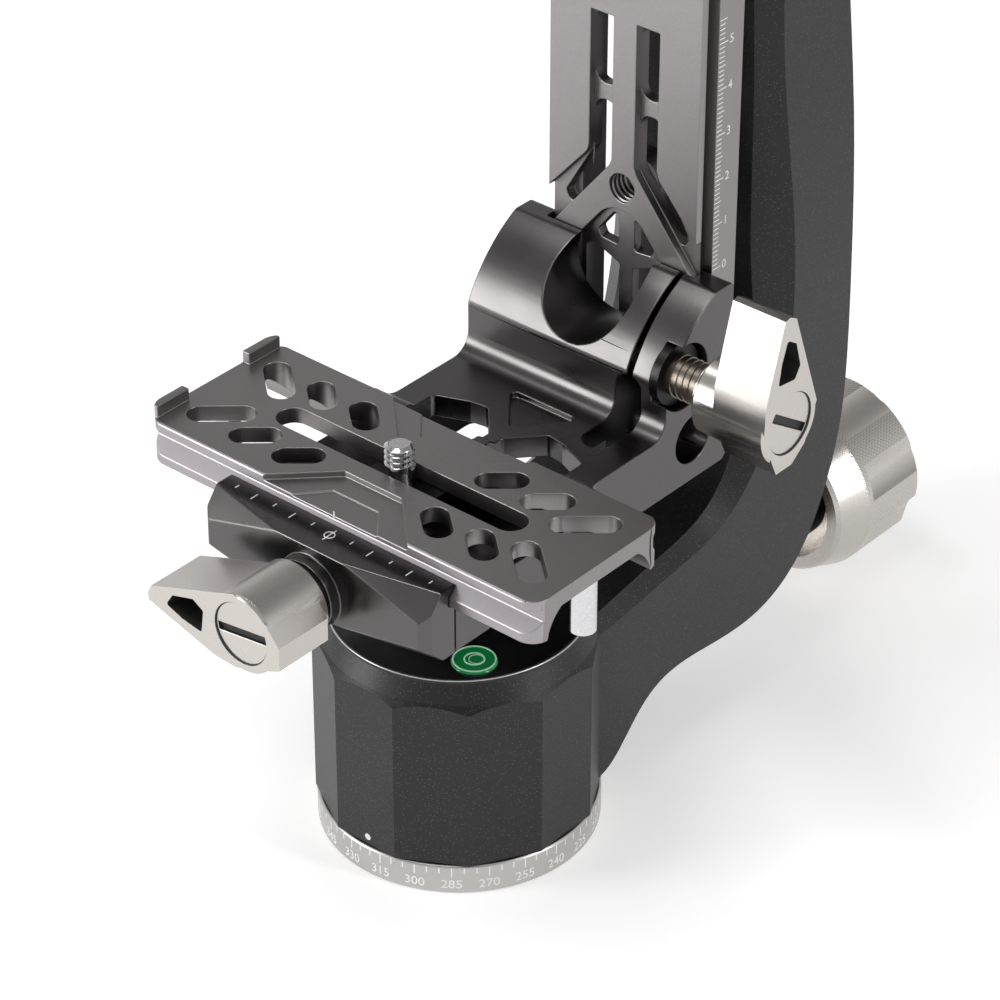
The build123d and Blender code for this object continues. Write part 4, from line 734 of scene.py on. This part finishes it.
def markCup(settings):
    bpy.ops.mesh.primitive_cylinder_add(vertices=32, radius=settings["dotRadius"] * mm,
                                        depth=settings["dotThick"] * mm,
                                        location=Vector(settings["dot"]) * mm,
                                        rotation=(math.radians(90), 0, 0))
    dot = justMade("cup.indexDot")
    settle(dot)
    finishPiece(dot, whiteInk, "arm")
    centre = (0, 0, settings["rimHeight"])
    rim = layRing("cup.brightRim", settings["rimRadius"], settings["rimWire"], centre, 128)
    bpy.ops.object.shade_smooth()
    finishPiece(rim, brightRim, "arm")


vialLook = {"centre": (15.0, -12.4, 51.08), "rings": (2.0, 4.25), "wire": 0.17, "bubble": 1.5,
            "bubbleWire": 0.1, "bubbleShift": (0.35, 0.2, 0)}


def markVial(settings):
    centre = Vector(settings["centre"])
    made = [layRing("vialRing", radius, settings["wire"], centre, 64) for radius in settings["rings"]]
    aside = centre + Vector(settings["bubbleShift"])
    made.append(layRing("vialBubble", settings["bubble"], settings["bubbleWire"], aside))
    rings = joinAll(made, "levelVial.rings")
    bpy.ops.object.shade_smooth()
    finishPiece(rings, vialWhite, "arm")


markRing(ringLook)
markRail(railLook)
markJaw(jawLook)
markPlate(tickLook)
markCup(cupLook)
markVial(vialLook)
print("marks put on")

# floor, lights and camera
stageLook = {"floorSize": 6.0, "floorGap": 0.02, "floorGrey": 0.84, "floorLift": 0.36, "fibre": 4.0,
             "roughness": 0.8, "skyLow": 0.85, "skyHigh": 0.32, "skyEnds": (0.12, 0.75)}


def addSeen(nodes, links):  # 1 for what the camera sees straight, in metal or through glass
    path = nodes.new("ShaderNodeLightPath")
    seen = addMath(nodes, links, "MAXIMUM", path.outputs["Is Camera Ray"], path.outputs["Is Glossy Ray"])
    return addMath(nodes, links, "MAXIMUM", seen, path.outputs["Is Transmission Ray"])


def makeStage(settings):
    bpy.ops.mesh.primitive_plane_add(size=settings["floorSize"],
                                     location=(0, 0, cadBox[0].z - settings["floorGap"] * mm))
    floor = justMade("studioFloor")
    settle(floor)
    paper, nodes, links, shader, place = newFinish("palePaper")
    fibre = addNoise(nodes, links, place, settings["fibre"] * mm)
    level = settings["floorGrey"]
    links.new(addSpread(nodes, links, fibre, grey(level - 0.01), grey(level)), shader.inputs["Base Color"])
    shader.inputs["Roughness"].default_value = settings["roughness"]
    shader.inputs["Emission Color"].default_value = (*grey(1.0), 1.0)
    lift = addMath(nodes, links, "MULTIPLY", addSeen(nodes, links), settings["floorLift"])
    links.new(lift, shader.inputs["Emission Strength"])
    floor.data.materials.append(paper)


def makeSky(settings):
    world = bpy.data.worlds.new("studio")
    bpy.context.scene.world = world
    world.use_nodes = True
    nodes, links = world.node_tree.nodes, world.node_tree.links
    split = nodes.new("ShaderNodeSeparateXYZ")
    links.new(nodes.new("ShaderNodeTexCoord").outputs["Generated"], split.inputs["Vector"])
    tone = addSpread(nodes, links, split.outputs["Z"], grey(settings["skyLow"]), grey(settings["skyHigh"]),
                     settings["skyEnds"])
    links.new(tone, nodes["Background"].inputs["Color"])
    nodes["Background"].inputs["Strength"].default_value = 1.0


lampTarget = (0, 0.02, 0.09)  # in metres, as the places and sizes of the lamps are
softboxes = {
    "softboxLeft": {"place": (-0.62, -0.80, 0.28), "size": (0.32, 0.62), "power": 6.0},
    "softboxRight": {"place": (0.95, 0.25, 0.50), "size": (0.16, 0.8), "power": 3.6},
    "softboxTop": {"place": (-0.15, -0.25, 1.05), "size": (0.8, 0.22), "power": 4.2},
}


def makeLamp(name, settings):
    bpy.ops.object.light_add(type="AREA", location=settings["place"])
    lamp = bpy.context.active_object
    lamp.name = name
    lamp.data.shape = "RECTANGLE"
    lamp.data.size, lamp.data.size_y = settings["size"]
    lamp.data.energy = settings["power"]
    aim = Vector(lampTarget) - Vector(settings["place"])
    lamp.rotation_euler = aim.to_track_quat("-Z", "Y").to_euler()


viewpoint = {"place": (434.58, -494.95, 512.39), "right": (0.7595, 0.6506, 0.0007),
             "up": (-0.3598, 0.4192, 0.8336), "back": (0.5420, -0.6333, 0.5524),
             "lens": 144.0, "sensor": 36.0, "near": 0.02, "far": 20}  # near and far in metres


def makeCamera(settings):
    cameraData = bpy.data.cameras.new("photoCamera")
    camera = bpy.data.objects.new("photoCamera", cameraData)
    bpy.context.scene.collection.objects.link(camera)
    cameraData.lens = settings["lens"]
    cameraData.sensor_width = settings["sensor"]
    cameraData.clip_start = settings["near"]
    cameraData.clip_end = settings["far"]
    turn = Matrix((settings["right"], settings["up"], settings["back"])).transposed().to_quaternion()
    camera.matrix_world = Matrix.Translation(Vector(settings["place"]) * mm) @ turn.to_matrix().to_4x4()
    bpy.context.scene.camera = camera


makeStage(stageLook)
makeSky(stageLook)
for name, settings in softboxes.items():
    makeLamp(name, settings)
makeCamera(viewpoint)
bpy.context.scene.view_settings.view_transform = "Standard"
print("stage, lamps and camera ready")
